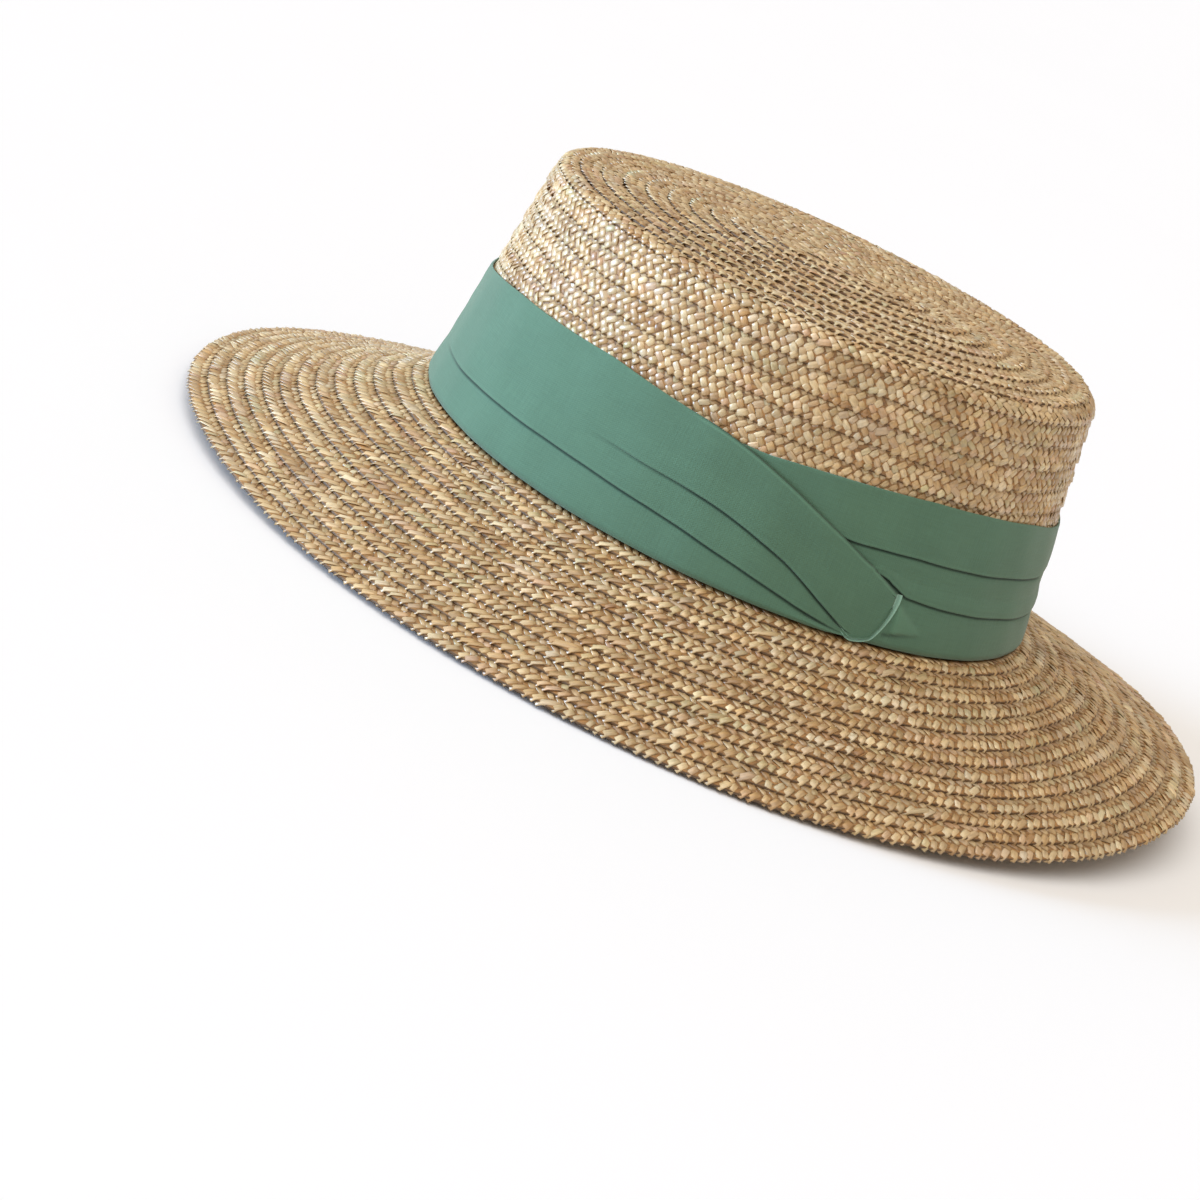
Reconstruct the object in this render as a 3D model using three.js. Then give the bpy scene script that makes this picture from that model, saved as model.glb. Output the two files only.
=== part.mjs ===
// Straw boater hat: a sewn-braid crown and brim, and a pleated cloth band whose end laps over itself.
// Millimetres, +Z up. The hat stands crown up on its brim edge at z = 0, with its centre on the Z axis.
// The front points to -Y, the band's lap is on the +X side. Angles run from +X towards +Y, in degrees.
import * as THREE from 'three';

// Clearance between neighbouring pieces
const gap = 0.3;

// Head opening at the crown's foot
const headLength = 194.4;
const headWidth = 167.2;

// Straw braid: its thickness, and how far a row's free edge stands over the row that it covers
const braidThickness = 1.3;
const rowStep = 0.9;

// Crown
const crownHeight = 77.6;
const crownTaper = 10.8;
const cornerRadius = 5;
const tipDome = 2.5;
const crownRowPitch = 7;

// Brim: widths seen from above, and the fall of its edge below the crown's foot
const brimWidthSide = 63.2;
const brimWidthFront = 68.4;
const brimDrop = 30;
const brimRowPitch = 5.4;
const brimFootWidth = 1.6;

// Where the brim edge lifts off the surface: the height as a share of the brim's fall, the angle of
// its middle and the reach to each side
const brimLifts = [
  { height: 0.415, middle: 100, reach: 85 },
  { height: 0.11, middle: -80, reach: 80 },
];

// Cloth band: its height and thickness, how far a fold stands out, and its height over the brim
const bandHeight = 42.2;
const bandThickness = 1;
const foldStep = 0.5;
const bandSeat = 0.5;

// Lap, the band's end that crosses its own beginning: where it starts, and how wide its root step is
const lapThickness = 1;
const lapStart = 1.5;
const lapRootStep = 0.25;

// Facets round the hat, along the lap and across it
const strawSides = 56;
const bandSides = 56;
const lapRows = 4;

// The band round the hat. The lower, middle and upper folds and the top edge are shares of the band
// height. How far a fold stands out is a share of the fold step. The rise is the share of the lap's
// layer that the field above the middle fold has taken on where it runs out into the lap.
const bandFolds = [
  { angle: -180, lower: 0.295, lowerOut: 1, middle: 0.45, rise: 0, upper: 0.61, upperOut: 0.5, top: 1 },
  { angle: -130, lower: 0.29, lowerOut: 1, middle: 0.46, rise: 0, upper: 0.66, upperOut: 0, top: 0.99 },
  { angle: -61, lower: 0.287, lowerOut: 1, middle: 0.48, rise: 0, upper: 0.7, upperOut: 0, top: 0.99 },
  { angle: -36, lower: 0.31, lowerOut: 1, middle: 0.5, rise: 0.2, upper: 0.72, upperOut: 0, top: 1.02 },
  { angle: -20, lower: 0.315, lowerOut: 1, middle: 0.51, rise: 0.6, upper: 0.72, upperOut: 0, top: 1.02 },
  { angle: -6, lower: 0.28, lowerOut: 1, middle: 0.51, rise: 0.95, upper: 0.72, upperOut: 0, top: 0.978 },
  { angle: 1.5, lower: 0.25, lowerOut: 1, middle: 0.505, rise: 1, upper: 0.72, upperOut: 0, top: 0.945 },
  { angle: 9.4, lower: 0.194, lowerOut: 1, middle: 0.44, rise: 0, upper: 0.7, upperOut: 0, top: 0.938 },
  { angle: 17.3, lower: 0.128, lowerOut: 1, middle: 0.34, rise: 0, upper: 0.66, upperOut: 0, top: 0.975 },
  { angle: 25.3, lower: 0.073, lowerOut: 0.8, middle: 0.25, rise: 0, upper: 0.625, upperOut: 0.6, top: 0.998 },
  { angle: 29.5, lower: 0.06, lowerOut: 0.2, middle: 0.3, rise: 0, upper: 0.628, upperOut: 1, top: 1.01 },
  { angle: 33.5, lower: 0.486, lowerOut: 0.4, middle: 0.56, rise: 0, upper: 0.632, upperOut: 1, top: 1.018 },
  { angle: 37, lower: 0.424, lowerOut: 1, middle: 0.54, rise: 0, upper: 0.637, upperOut: 1, top: 1.025 },
  { angle: 40.4, lower: 0.363, lowerOut: 1, middle: 0.5, rise: 0, upper: 0.64, upperOut: 1, top: 1.03 },
  { angle: 51, lower: 0.332, lowerOut: 1, middle: 0.48, rise: 0, upper: 0.628, upperOut: 1, top: 1.03 },
  { angle: 68, lower: 0.306, lowerOut: 1, middle: 0.45, rise: 0, upper: 0.608, upperOut: 1, top: 1.025 },
  { angle: 80, lower: 0.29, lowerOut: 1, middle: 0.44, rise: 0, upper: 0.59, upperOut: 1, top: 1 },
  { angle: 180, lower: 0.295, lowerOut: 1, middle: 0.45, rise: 0, upper: 0.61, upperOut: 0.5, top: 1 },
];

// The lap's lower and upper edge as shares of the band height. It narrows to a rounded end.
const lapEdges = [
  { angle: 2, lower: 0.503, upper: 0.925 },
  { angle: 5.5, lower: 0.472, upper: 0.905 },
  { angle: 9.5, lower: 0.435, upper: 0.862 },
  { angle: 14, lower: 0.378, upper: 0.802 },
  { angle: 20, lower: 0.283, upper: 0.706 },
  { angle: 25.3, lower: 0.166, upper: 0.623 },
  { angle: 30, lower: 0.062, upper: 0.536 },
  { angle: 33, lower: 0.02, upper: 0.483 },
  { angle: 34.6, lower: 0.014, upper: 0.452 },
  { angle: 36, lower: 0.036, upper: 0.422 },
  { angle: 36.9, lower: 0.104, upper: 0.404 },
  { angle: 37.7, lower: 0.185, upper: 0.386 },
  { angle: 38.2, lower: 0.277, upper: 0.372 },
];

// Worked-out sizes
const wall = braidThickness + rowStep;
const crownFootZ = brimDrop + wall;
const crownHalfLength = headLength / 2 + wall;
const crownHalfWidth = headWidth / 2 + wall;
const bandFootZ = crownFootZ + bandSeat;

const radians = THREE.MathUtils.degToRad;

// A point on an oval whose half width lies along X and whose half length lies along Y.
function ovalPoint(angle, halfWidth, halfLength, z) {
  const turn = radians(angle);
  return new THREE.Vector3(halfWidth * Math.cos(turn), halfLength * Math.sin(turn), z);
}

// Values of the table's columns at an angle, on straight lines between its rows.
function readTable(table, angle) {
  const after = table.findIndex((row) => row.angle >= angle);
  const high = table[after === -1 ? table.length - 1 : after];
  const low = table[after === -1 ? table.length - 1 : Math.max(after - 1, 0)];
  const share = high === low ? 0 : (angle - low.angle) / (high.angle - low.angle);
  const values = {};
  for (const column of Object.keys(high)) {
    values[column] = THREE.MathUtils.lerp(low[column], high[column], share);
  }
  return values;
}

// Evenly spaced angles from one up to another, which is itself left out.
function evenAngles(from, to, steps) {
  return Array.from({ length: steps }, (_, index) => from + ((to - from) * index) / steps);
}

// A closed body from sections with the same number of points. A ring joins its last section to its
// first, and other bodies close with the section's own faces. Sections that are themselves closed
// loops join their last point to their first; open ones start and end on a shared pole.
function closedBody(sections, { ring, loops }) {
  const corners = [];
  const addTriangle = (a, b, c) => {
    if (a.equals(b) || b.equals(c) || c.equals(a)) return;
    corners.push(a, b, c);
  };
  const addQuad = (a, b, c, d) => {
    addTriangle(a, b, c);
    addTriangle(a, c, d);
  };
  const spans = ring ? sections.length : sections.length - 1;
  const count = sections[0].length;
  const steps = loops ? count : count - 1;
  for (let span = 0; span < spans; span += 1) {
    const near = sections[span];
    const far = sections[(span + 1) % sections.length];
    for (let step = 0; step < steps; step += 1) {
      const next = (step + 1) % count;
      addQuad(near[step], far[step], far[next], near[next]);
    }
  }
  if (!ring) {
    const half = count / 2;
    for (const [section, reversed] of [[sections[0], false], [sections.at(-1), true]]) {
      for (let step = 0; step < half - 1; step += 1) {
        const face = [section[step], section[step + 1], section[count - 2 - step], section[count - 1 - step]];
        if (reversed) face.reverse();
        addQuad(...face);
      }
    }
  }
  const geometry = new THREE.BufferGeometry().setFromPoints(corners);
  return facesOut(geometry);
}

// The same body with its faces turned outwards, told by the sign of its volume.
function facesOut(geometry) {
  const place = geometry.attributes.position;
  const [a, b, c] = [new THREE.Vector3(), new THREE.Vector3(), new THREE.Vector3()];
  let volume = 0;
  for (let index = 0; index < place.count; index += 3) {
    a.fromBufferAttribute(place, index);
    b.fromBufferAttribute(place, index + 1);
    c.fromBufferAttribute(place, index + 2);
    volume += a.dot(b.cross(c));
  }
  if (volume < 0) {
    for (let index = 0; index < place.count; index += 3) {
      a.fromBufferAttribute(place, index);
      c.fromBufferAttribute(place, index + 2);
      place.setXYZ(index, c.x, c.y, c.z);
      place.setXYZ(index + 2, a.x, a.y, a.z);
    }
  }
  geometry.computeVertexNormals();
  return geometry;
}

// The crown's outer outline, cut from its foot to the middle of its tip: up the leaning side, round
// the corner and in over the domed tip. Inset is measured inwards from the foot's outer oval.
const lean = Math.atan2(crownTaper, crownHeight);
const sideLength = (crownHeight - cornerRadius * (1 - Math.sin(lean))) / Math.cos(lean);
const cornerTurn = Math.PI / 2 - lean;
const cornerLength = cornerRadius * cornerTurn;
const cornerInset = sideLength * Math.sin(lean) + cornerRadius * Math.cos(lean);
const cornerBaseZ = sideLength * Math.cos(lean) - cornerRadius * Math.sin(lean);
const tipReach = crownHalfWidth - cornerInset;
const crownLength = sideLength + cornerLength + tipReach;

// Place at a distance along that outline, moved in by a depth below the surface.
function crownOutline(distance, depth) {
  if (distance <= sideLength) {
    return {
      inset: distance * Math.sin(lean) + depth * Math.cos(lean),
      z: distance * Math.cos(lean) - depth * Math.sin(lean),
    };
  }
  if (distance <= sideLength + cornerLength) {
    const turn = lean + (distance - sideLength) / cornerRadius;
    const reach = cornerRadius - depth;
    return {
      inset: cornerInset - reach * Math.cos(turn),
      z: cornerBaseZ + reach * Math.sin(turn),
    };
  }
  const inwards = distance - sideLength - cornerLength;
  const share = 1 - inwards / tipReach;
  return {
    inset: cornerInset + inwards,
    z: cornerBaseZ + cornerRadius - depth + tipDome * (1 - share * share),
  };
}

// Crown: rows of braid lap like shingles, each row's lower edge over the one below it.
function crownGeometry() {
  const rows = Math.round(crownLength / crownRowPitch);
  const pitch = crownLength / rows;
  const cornerMarks = [sideLength, sideLength + cornerLength / 2, sideLength + cornerLength];
  const outside = [];
  for (let row = 0; row < rows; row += 1) {
    const start = row * pitch;
    const end = start + pitch;
    const marks = cornerMarks.filter((mark) => mark > start && mark < end);
    for (const distance of [start, ...marks, end]) {
      outside.push({ distance, depth: (rowStep * (distance - start)) / pitch });
    }
  }
  const inside = [0, ...cornerMarks, ...[0.35, 0.7, 1].map((share) => crownLength - tipReach * (1 - share))];
  const outline = [
    ...inside.reverse().map((distance) => ({ distance, depth: wall })),
    ...outside,
  ];
  const foot = crownFootZ - rowStep + gap;
  const sections = evenAngles(0, 360, strawSides).map((angle) =>
    outline.map(({ distance, depth }) => {
      const { inset, z } = crownOutline(distance, depth);
      if (distance >= crownLength) return new THREE.Vector3(0, 0, crownFootZ + z);
      const height = distance === 0 ? foot : crownFootZ + z;
      return ovalPoint(angle, crownHalfWidth - inset, crownHalfLength - inset, height);
    }),
  );
  return closedBody(sections, { ring: true, loops: false });
}

// How high the brim edge stands off the surface at an angle: a smooth bulge at the back and front.
function brimLift(angle) {
  return brimLifts.reduce((total, { height, middle, reach }) => {
    const away = Math.abs(((angle - middle + 540) % 360) - 180) / reach;
    return away < 1 ? total + height * brimDrop * Math.cos((away * Math.PI) / 2) ** 2 : total;
  }, 0);
}

// Brim: from under the crown's wall it falls straight to its edge, in rows that lap outwards.
function brimGeometry() {
  const rows = Math.round(Math.hypot((brimWidthSide + brimWidthFront) / 2, brimDrop) / brimRowPitch);
  const topPoints = [{ share: 0, inset: wall, depth: rowStep }];
  for (let row = 0; row < rows; row += 1) {
    topPoints.push({ share: row / rows, inset: 0, depth: rowStep });
    topPoints.push({ share: (row + 1) / rows, inset: 0, depth: 0 });
  }
  const underPoints = [
    { share: 1, inset: 0, depth: wall },
    { share: 1, inset: brimFootWidth, depth: wall },
    { share: 0.75, inset: 0, depth: wall },
    { share: 0.5, inset: 0, depth: wall },
    { share: 0.25, inset: 0, depth: wall },
    { share: 0, inset: 0, depth: wall + rowStep },
    { share: 0, inset: wall, depth: wall + rowStep },
  ];
  const sections = evenAngles(0, 360, strawSides).map((angle) =>
    [...topPoints, ...underPoints].map(({ share, inset, depth }) => {
      const halfWidth = crownHalfWidth + share * brimWidthSide - inset;
      const halfLength = crownHalfLength + share * brimWidthFront - inset;
      const z = crownFootZ - share * (brimDrop - brimLift(angle)) - depth;
      return ovalPoint(angle, halfWidth, halfLength, z);
    }),
  );
  return closedBody(sections, { ring: true, loops: true });
}

// A point of the band at an angle, a height over its foot and a distance outside the crown's side.
function bandPoint(angle, height, outside) {
  const inset = ((height + bandSeat) * crownTaper) / crownHeight - outside;
  return ovalPoint(angle, crownHalfWidth - inset, crownHalfLength - inset, bandFootZ + height);
}

// The band's outer face at an angle, from its foot to its top edge: each layer stands out most at its
// own lower edge, where it covers the layer below.
function bandFace(angle) {
  const fold = readTable(bandFolds, angle);
  const rise = angle <= lapStart ? fold.rise * (lapThickness + gap) : 0;
  const base = gap + bandThickness;
  return [
    { height: 0, outside: base + foldStep },
    { height: fold.lower * bandHeight - gap, outside: base },
    { height: fold.lower * bandHeight, outside: base + foldStep * fold.lowerOut },
    { height: fold.middle * bandHeight - gap, outside: base },
    { height: fold.middle * bandHeight, outside: base + rise },
    { height: fold.upper * bandHeight - gap, outside: base + rise },
    { height: fold.upper * bandHeight, outside: base + rise + foldStep * fold.upperOut },
    { height: fold.top * bandHeight, outside: base + rise },
  ];
}

// How far the band's outer face stands outside the crown at an angle and height.
function bandOutside(angle, height) {
  const face = bandFace(angle);
  const after = face.findIndex((point) => point.height >= height);
  if (after === -1) return face.at(-1).outside;
  const high = face[after];
  const low = face[Math.max(after - 1, 0)];
  const share = high === low ? 0 : (height - low.height) / (high.height - low.height);
  return THREE.MathUtils.lerp(low.outside, high.outside, share);
}

// Band: a closed loop of cloth round the foot of the crown, with its folds running lengthwise.
function bandGeometry() {
  const lapEnd = lapEdges.at(-1).angle;
  const lapSteps = lapEdges.length;
  const angles = [
    lapStart,
    ...evenAngles(lapStart + lapRootStep, lapEnd, lapSteps),
    ...evenAngles(lapEnd, 360 + lapStart, bandSides),
  ];
  const sections = angles.map((angle) => {
    const turned = angle > 180 ? angle - 360 : angle;
    const face = bandFace(turned);
    const inner = [face.at(-1).height, 0].map((height) => bandPoint(angle, height, gap));
    return [...face.map(({ height, outside }) => bandPoint(angle, height, outside)), ...inner];
  });
  return closedBody(sections, { ring: true, loops: true });
}

// Lap: the band's end, drawn down across the band to a rounded tip that ends at the brim.
function lapGeometry() {
  const clear = THREE.MathUtils.radToDeg(gap / crownHalfWidth);
  const root = lapStart + lapRootStep + clear;
  const angles = [root, ...lapEdges.slice(1).map(({ angle }) => angle)];
  const sections = angles.map((angle) => {
    const edge = readTable(lapEdges, angle);
    const heights = Array.from({ length: lapRows + 1 }, (_, row) =>
      THREE.MathUtils.lerp(edge.lower, edge.upper, row / lapRows) * bandHeight);
    const under = heights.map((height) => bandPoint(angle, height, bandOutside(angle, height) + gap));
    const over = heights.map((height) =>
      bandPoint(angle, height, bandOutside(angle, height) + gap + lapThickness));
    return [...over, ...under.reverse()];
  });
  return closedBody(sections, { ring: false, loops: true });
}

// Finishes
const straw = { color: 0xd3b07a, roughness: 0.6, metalness: 0 };
const cloth = { color: 0x6f9d8d, roughness: 0.9, metalness: 0 };

function namedMesh(name, geometry, finish) {
  const mesh = new THREE.Mesh(geometry, new THREE.MeshStandardMaterial(finish));
  mesh.name = name;
  return mesh;
}

const hat = new THREE.Group();
hat.add(namedMesh('crown', crownGeometry(), straw));
hat.add(namedMesh('brim', brimGeometry(), straw));
hat.add(namedMesh('band', bandGeometry(), cloth));
hat.add(namedMesh('band_lap', lapGeometry(), cloth));

export default hat;
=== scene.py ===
"""A straw boater hat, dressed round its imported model.

The straw is modelled as it is made. A flat plait is laid round the crown in one spiral and round the
brim in rings, and each row's free edge covers the row outside it. Every straw that shows on the hat's
outside and under its brim is a small closed body of its own. Inside the crown, straws are drawn in the
plait's finish. The band is one strip of cloth, folded lengthwise, that goes once round the crown and
laps over its own beginning.

Lengths are metres unless a name or comment says otherwise. Angles run from +X towards +Y.
"""

import logging
import math
from dataclasses import dataclass
from enum import Enum

import bpy
import numpy as np
from mathutils import Matrix, Vector


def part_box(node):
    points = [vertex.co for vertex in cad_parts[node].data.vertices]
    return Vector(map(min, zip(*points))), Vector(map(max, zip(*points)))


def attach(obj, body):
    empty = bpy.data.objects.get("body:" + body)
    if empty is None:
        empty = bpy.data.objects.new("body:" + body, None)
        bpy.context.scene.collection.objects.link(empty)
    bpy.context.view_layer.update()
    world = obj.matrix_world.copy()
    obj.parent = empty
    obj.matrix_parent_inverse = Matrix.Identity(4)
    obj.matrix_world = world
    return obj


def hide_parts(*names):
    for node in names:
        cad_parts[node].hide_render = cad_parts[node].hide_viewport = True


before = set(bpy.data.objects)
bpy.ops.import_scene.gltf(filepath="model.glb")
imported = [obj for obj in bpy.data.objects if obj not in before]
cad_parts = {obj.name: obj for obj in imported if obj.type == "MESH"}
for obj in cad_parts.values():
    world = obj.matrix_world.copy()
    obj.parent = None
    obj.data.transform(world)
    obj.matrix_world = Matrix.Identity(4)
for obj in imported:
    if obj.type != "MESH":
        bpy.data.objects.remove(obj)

MM = 0.001
FULL_TURN = 2 * math.pi
Array = np.ndarray
log = logging.getLogger("boater")


def smooth_step(share: Array) -> Array:
    """Ease from 0 to 1: three times the square less twice the cube of the clipped share."""
    clipped = np.clip(share, 0.0, 1.0)
    return clipped * clipped * (3.0 - 2.0 * clipped)


def unit(vectors: Array) -> Array:
    """The vectors divided by their own lengths."""
    return vectors / np.maximum(np.linalg.norm(vectors, axis=-1, keepdims=True), 1e-12)


def running_total(rates: Array, places: Array) -> Array:
    """Sum of the rates over the places so far, by the trapezoid rule, from 0 at the first place."""
    return np.concatenate([[0.0], np.cumsum((rates[1:] + rates[:-1]) / 2 * np.diff(places))])


def smoothed(values: Array, softness: int) -> Array:
    """Evenly spaced values, each averaged with its neighbours under a bell of weights.

    Args:
        values: The values.
        softness: Number of neighbours on each side.

    Returns:
        As many values.
    """
    kernel = np.hanning(2 * softness + 3)[1:-1]
    padded = np.pad(values, softness, mode="edge")
    return np.convolve(padded, kernel / kernel.sum(), mode="valid")


def bulge_round(turn: Array, middle: float, reach: float) -> Array:
    """The square of a cosine round a middle angle: 1 there, and 0 from the reach on.

    Args:
        turn: Angles round the hat, in radians.
        middle: The middle angle, in degrees.
        reach: How far it reaches to each side, in degrees.

    Returns:
        The share at each angle.
    """
    away = np.abs((np.degrees(turn) - middle + 540.0) % 360.0 - 180.0) / reach
    return np.where(away < 1, np.cos(away * math.pi / 2) ** 2, 0.0)


def linear_colour(code: str) -> Array:
    """A colour written as six hex digits, as linear red, green and blue."""
    coded = np.array([int(code[i : i + 2], 16) for i in (0, 2, 4)]) / 255.0
    return np.where(coded <= 0.04045, coded / 12.92, ((coded + 0.055) / 1.055) ** 2.4)


@dataclass(frozen=True)
class HatForm:
    """The hat's outer form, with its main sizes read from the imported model.

    Attributes:
        half_width: Half width of the crown's foot, along X.
        half_length: Half length of the crown's foot, along Y.
        foot: Height of the crown's foot over the surface.
        height: Height of the crown's corner over its foot.
        brim_half_width: Half width of the brim's edge.
        brim_half_length: Half length of the brim's edge.
        taper: How far the crown's side leans in over its height.
        corner: Radius of the corner between side and tip.
        dome: Rise of the tip's middle over the corner.
        wall: Thickness of the plait with the step of a row's free edge.
        lifts: Height as a share of the brim's fall, middle and reach in degrees, of each brim lift.
    """

    half_width: float
    half_length: float
    foot: float
    height: float
    brim_half_width: float
    brim_half_length: float
    taper: float = 10.8 * MM
    corner: float = 5.0 * MM
    dome: float = 2.5 * MM
    wall: float = 2.2 * MM
    lifts: tuple[tuple[float, float, float], ...] = ((0.415, 100.0, 85.0), (0.11, -80.0, 80.0))

    @classmethod
    def from_frame(cls, band_seat: float = 0.5 * MM) -> "HatForm":
        """Read the form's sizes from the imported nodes.

        Args:
            band_seat: How far the band's foot is over the crown's foot.

        Returns:
            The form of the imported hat.
        """
        crown_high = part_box("crown")[1]
        brim_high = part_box("brim")[1]
        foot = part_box("band")[0].z - band_seat
        height = crown_high.z - foot - cls.dome
        return cls(crown_high.x, crown_high.y, foot, height, brim_high.x, brim_high.y)

    @property
    def lean(self) -> float:
        """Angle of the crown's side from upright."""
        return math.atan2(self.taper, self.height)

    @property
    def side_length(self) -> float:
        """Length of the straight side, from the foot up to the corner."""
        return (self.height - self.corner * (1 - math.sin(self.lean))) / math.cos(self.lean)

    @property
    def corner_inset(self) -> float:
        """Inset of the corner's centre from the foot's oval."""
        return self.side_length * math.sin(self.lean) + self.corner * math.cos(self.lean)

    @property
    def tip_reach(self) -> float:
        """Distance from the end of the corner in to the middle of the tip."""
        return self.half_width - self.corner_inset

    @property
    def corner_length(self) -> float:
        """Length of the corner's arc."""
        return self.corner * (math.pi / 2 - self.lean)

    @property
    def outline_length(self) -> float:
        """Length of the crown's outline from the middle of the tip to its foot."""
        return self.side_length + self.corner_length + self.tip_reach

    @property
    def brim_fall(self) -> float:
        """Fall of the brim from the crown's foot to the top of its edge."""
        return self.foot - self.wall

    def brim_lift(self, turn: Array) -> Array:
        """Height of the brim's edge over its lowest level: the square of a cosine round each middle.

        Args:
            turn: Angles round the hat, in radians.

        Returns:
            The lift at each angle.
        """
        total = np.zeros_like(turn)
        for share, middle, reach in self.lifts:
            total += self.brim_fall * share * bulge_round(turn, middle, reach)
        return total


def oval(turn: Array, half_width: Array, half_length: Array, outside: Array, z: Array) -> Array:
    """Points of a level oval, moved out along its own normal.

    The point is half width times cosine, half length times sine. Its outward normal points along half
    length times cosine, half width times sine.

    Args:
        turn: Angle of each point.
        half_width: Half width of the oval through each point.
        half_length: Half length of the oval through each point.
        outside: How far each point is moved out.
        z: Height of each point.

    Returns:
        The points, with x, y and z on the last axis.
    """
    turn, half_width, half_length, outside, z = np.broadcast_arrays(turn, half_width, half_length, outside, z)
    cosine, sine = np.cos(turn), np.sin(turn)
    size = np.maximum(np.hypot(half_length * cosine, half_width * sine), 1e-9)
    x = half_width * cosine + outside * half_length * cosine / size
    y = half_length * sine + outside * half_width * sine / size
    return np.stack([x, y, z], axis=-1)


class StrawSurface:
    """A surface that rows of plait are laid on, with rows counted from its inner edge outwards.

    Args:
        form: The hat's form.
        rows: How many rows the surface holds.
        wander: How far the rows stray from their even place, as a share of a row.
        seed: Seed of the straying.
    """

    def __init__(self, form: HatForm, rows: int, wander: float, seed: int) -> None:
        self.form = form
        self.rows = rows
        random = np.random.default_rng(seed)
        self.waves = random.integers(2, 10, 7)
        self.phases = random.uniform(0, FULL_TURN, 7)
        self.drifts = random.uniform(-0.9, 0.9, 7)
        self.wander = wander

    def strayed(self, turn: Array, row: Array) -> Array:
        """Rows with their small waves: a sum of sines round the hat that drift from row to row."""
        wave = sum(
            np.sin(count * turn + phase + drift * row)
            for count, phase, drift in zip(self.waves, self.phases, self.drifts)
        )
        fade = np.clip((self.rows - row) / 2.0, 0.0, 1.0) * np.clip(row / 2.0, 0.0, 1.0)
        return row + self.wander * fade * wave / math.sqrt(len(self.waves))

    def place(self, turn: Array, row: Array, height: Array) -> Array:
        """Points at an angle, a row count and a height over the surface."""
        raise NotImplementedError

    def row_size(self, turn: Array) -> Array:
        """Width of one row at an angle."""
        raise NotImplementedError

    def speed(self, turn: Array, row: Array) -> Array:
        """Distance along a row for each radian, from the difference of two close points."""
        nudge = 1e-3
        ahead = self.place(turn + nudge, row, np.zeros_like(turn))
        behind = self.place(turn - nudge, row, np.zeros_like(turn))
        return np.maximum(np.linalg.norm(ahead - behind, axis=-1) / (2 * nudge), 3 * MM)


class CrownSurface(StrawSurface):
    """The crown from the middle of its tip, over the corner and down its side to the foot."""

    def __init__(self, form: HatForm, pitch: float = 7.0 * MM) -> None:
        super().__init__(form, round(form.outline_length / pitch), wander=0.05, seed=3)
        self.pitch = form.outline_length / self.rows

    def row_size(self, turn: Array) -> Array:
        """Width of one row, the same all round."""
        return np.full_like(turn, self.pitch)

    def place(self, turn: Array, row: Array, height: Array) -> Array:
        """Points on the crown.

        The distance up the outline gives an inset from the foot's oval and a height: a straight
        leaning line, then an arc, then a shallow parabola in to the middle.

        Args:
            turn: Angle of each point.
            row: Row count of each point, from the middle of the tip.
            height: How far each point stands over the surface.

        Returns:
            The points.
        """
        form = self.form
        turn, row, height = np.broadcast_arrays(turn, row, height)
        up = form.outline_length - np.clip(self.strayed(turn, row), 0.0, None) * self.pitch
        bend = np.clip((up - form.side_length) / form.corner, 0.0, math.pi / 2 - form.lean)
        angle = form.lean + bend
        on_side = np.minimum(up, form.side_length)
        inwards = np.clip(up - form.side_length - form.corner_length, 0.0, None)
        share = 1.0 - inwards / form.tip_reach
        slope = np.where(inwards > 0, 2 * form.dome * share / form.tip_reach, 0.0)
        inset = (
            on_side * math.sin(form.lean)
            + form.corner * (math.cos(form.lean) - np.cos(angle))
            + inwards
        )
        level = (
            on_side * math.cos(form.lean)
            + form.corner * (np.sin(angle) - math.sin(form.lean))
            + np.where(inwards > 0, form.dome * (1 - share * share), 0.0)
        )
        out = np.where(inwards > 0, slope, np.cos(angle))
        rise = np.where(inwards > 0, 1.0, np.sin(angle))
        return oval(
            turn,
            form.half_width - inset,
            form.half_length - inset,
            height * out,
            form.foot + level + height * rise,
        )


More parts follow.
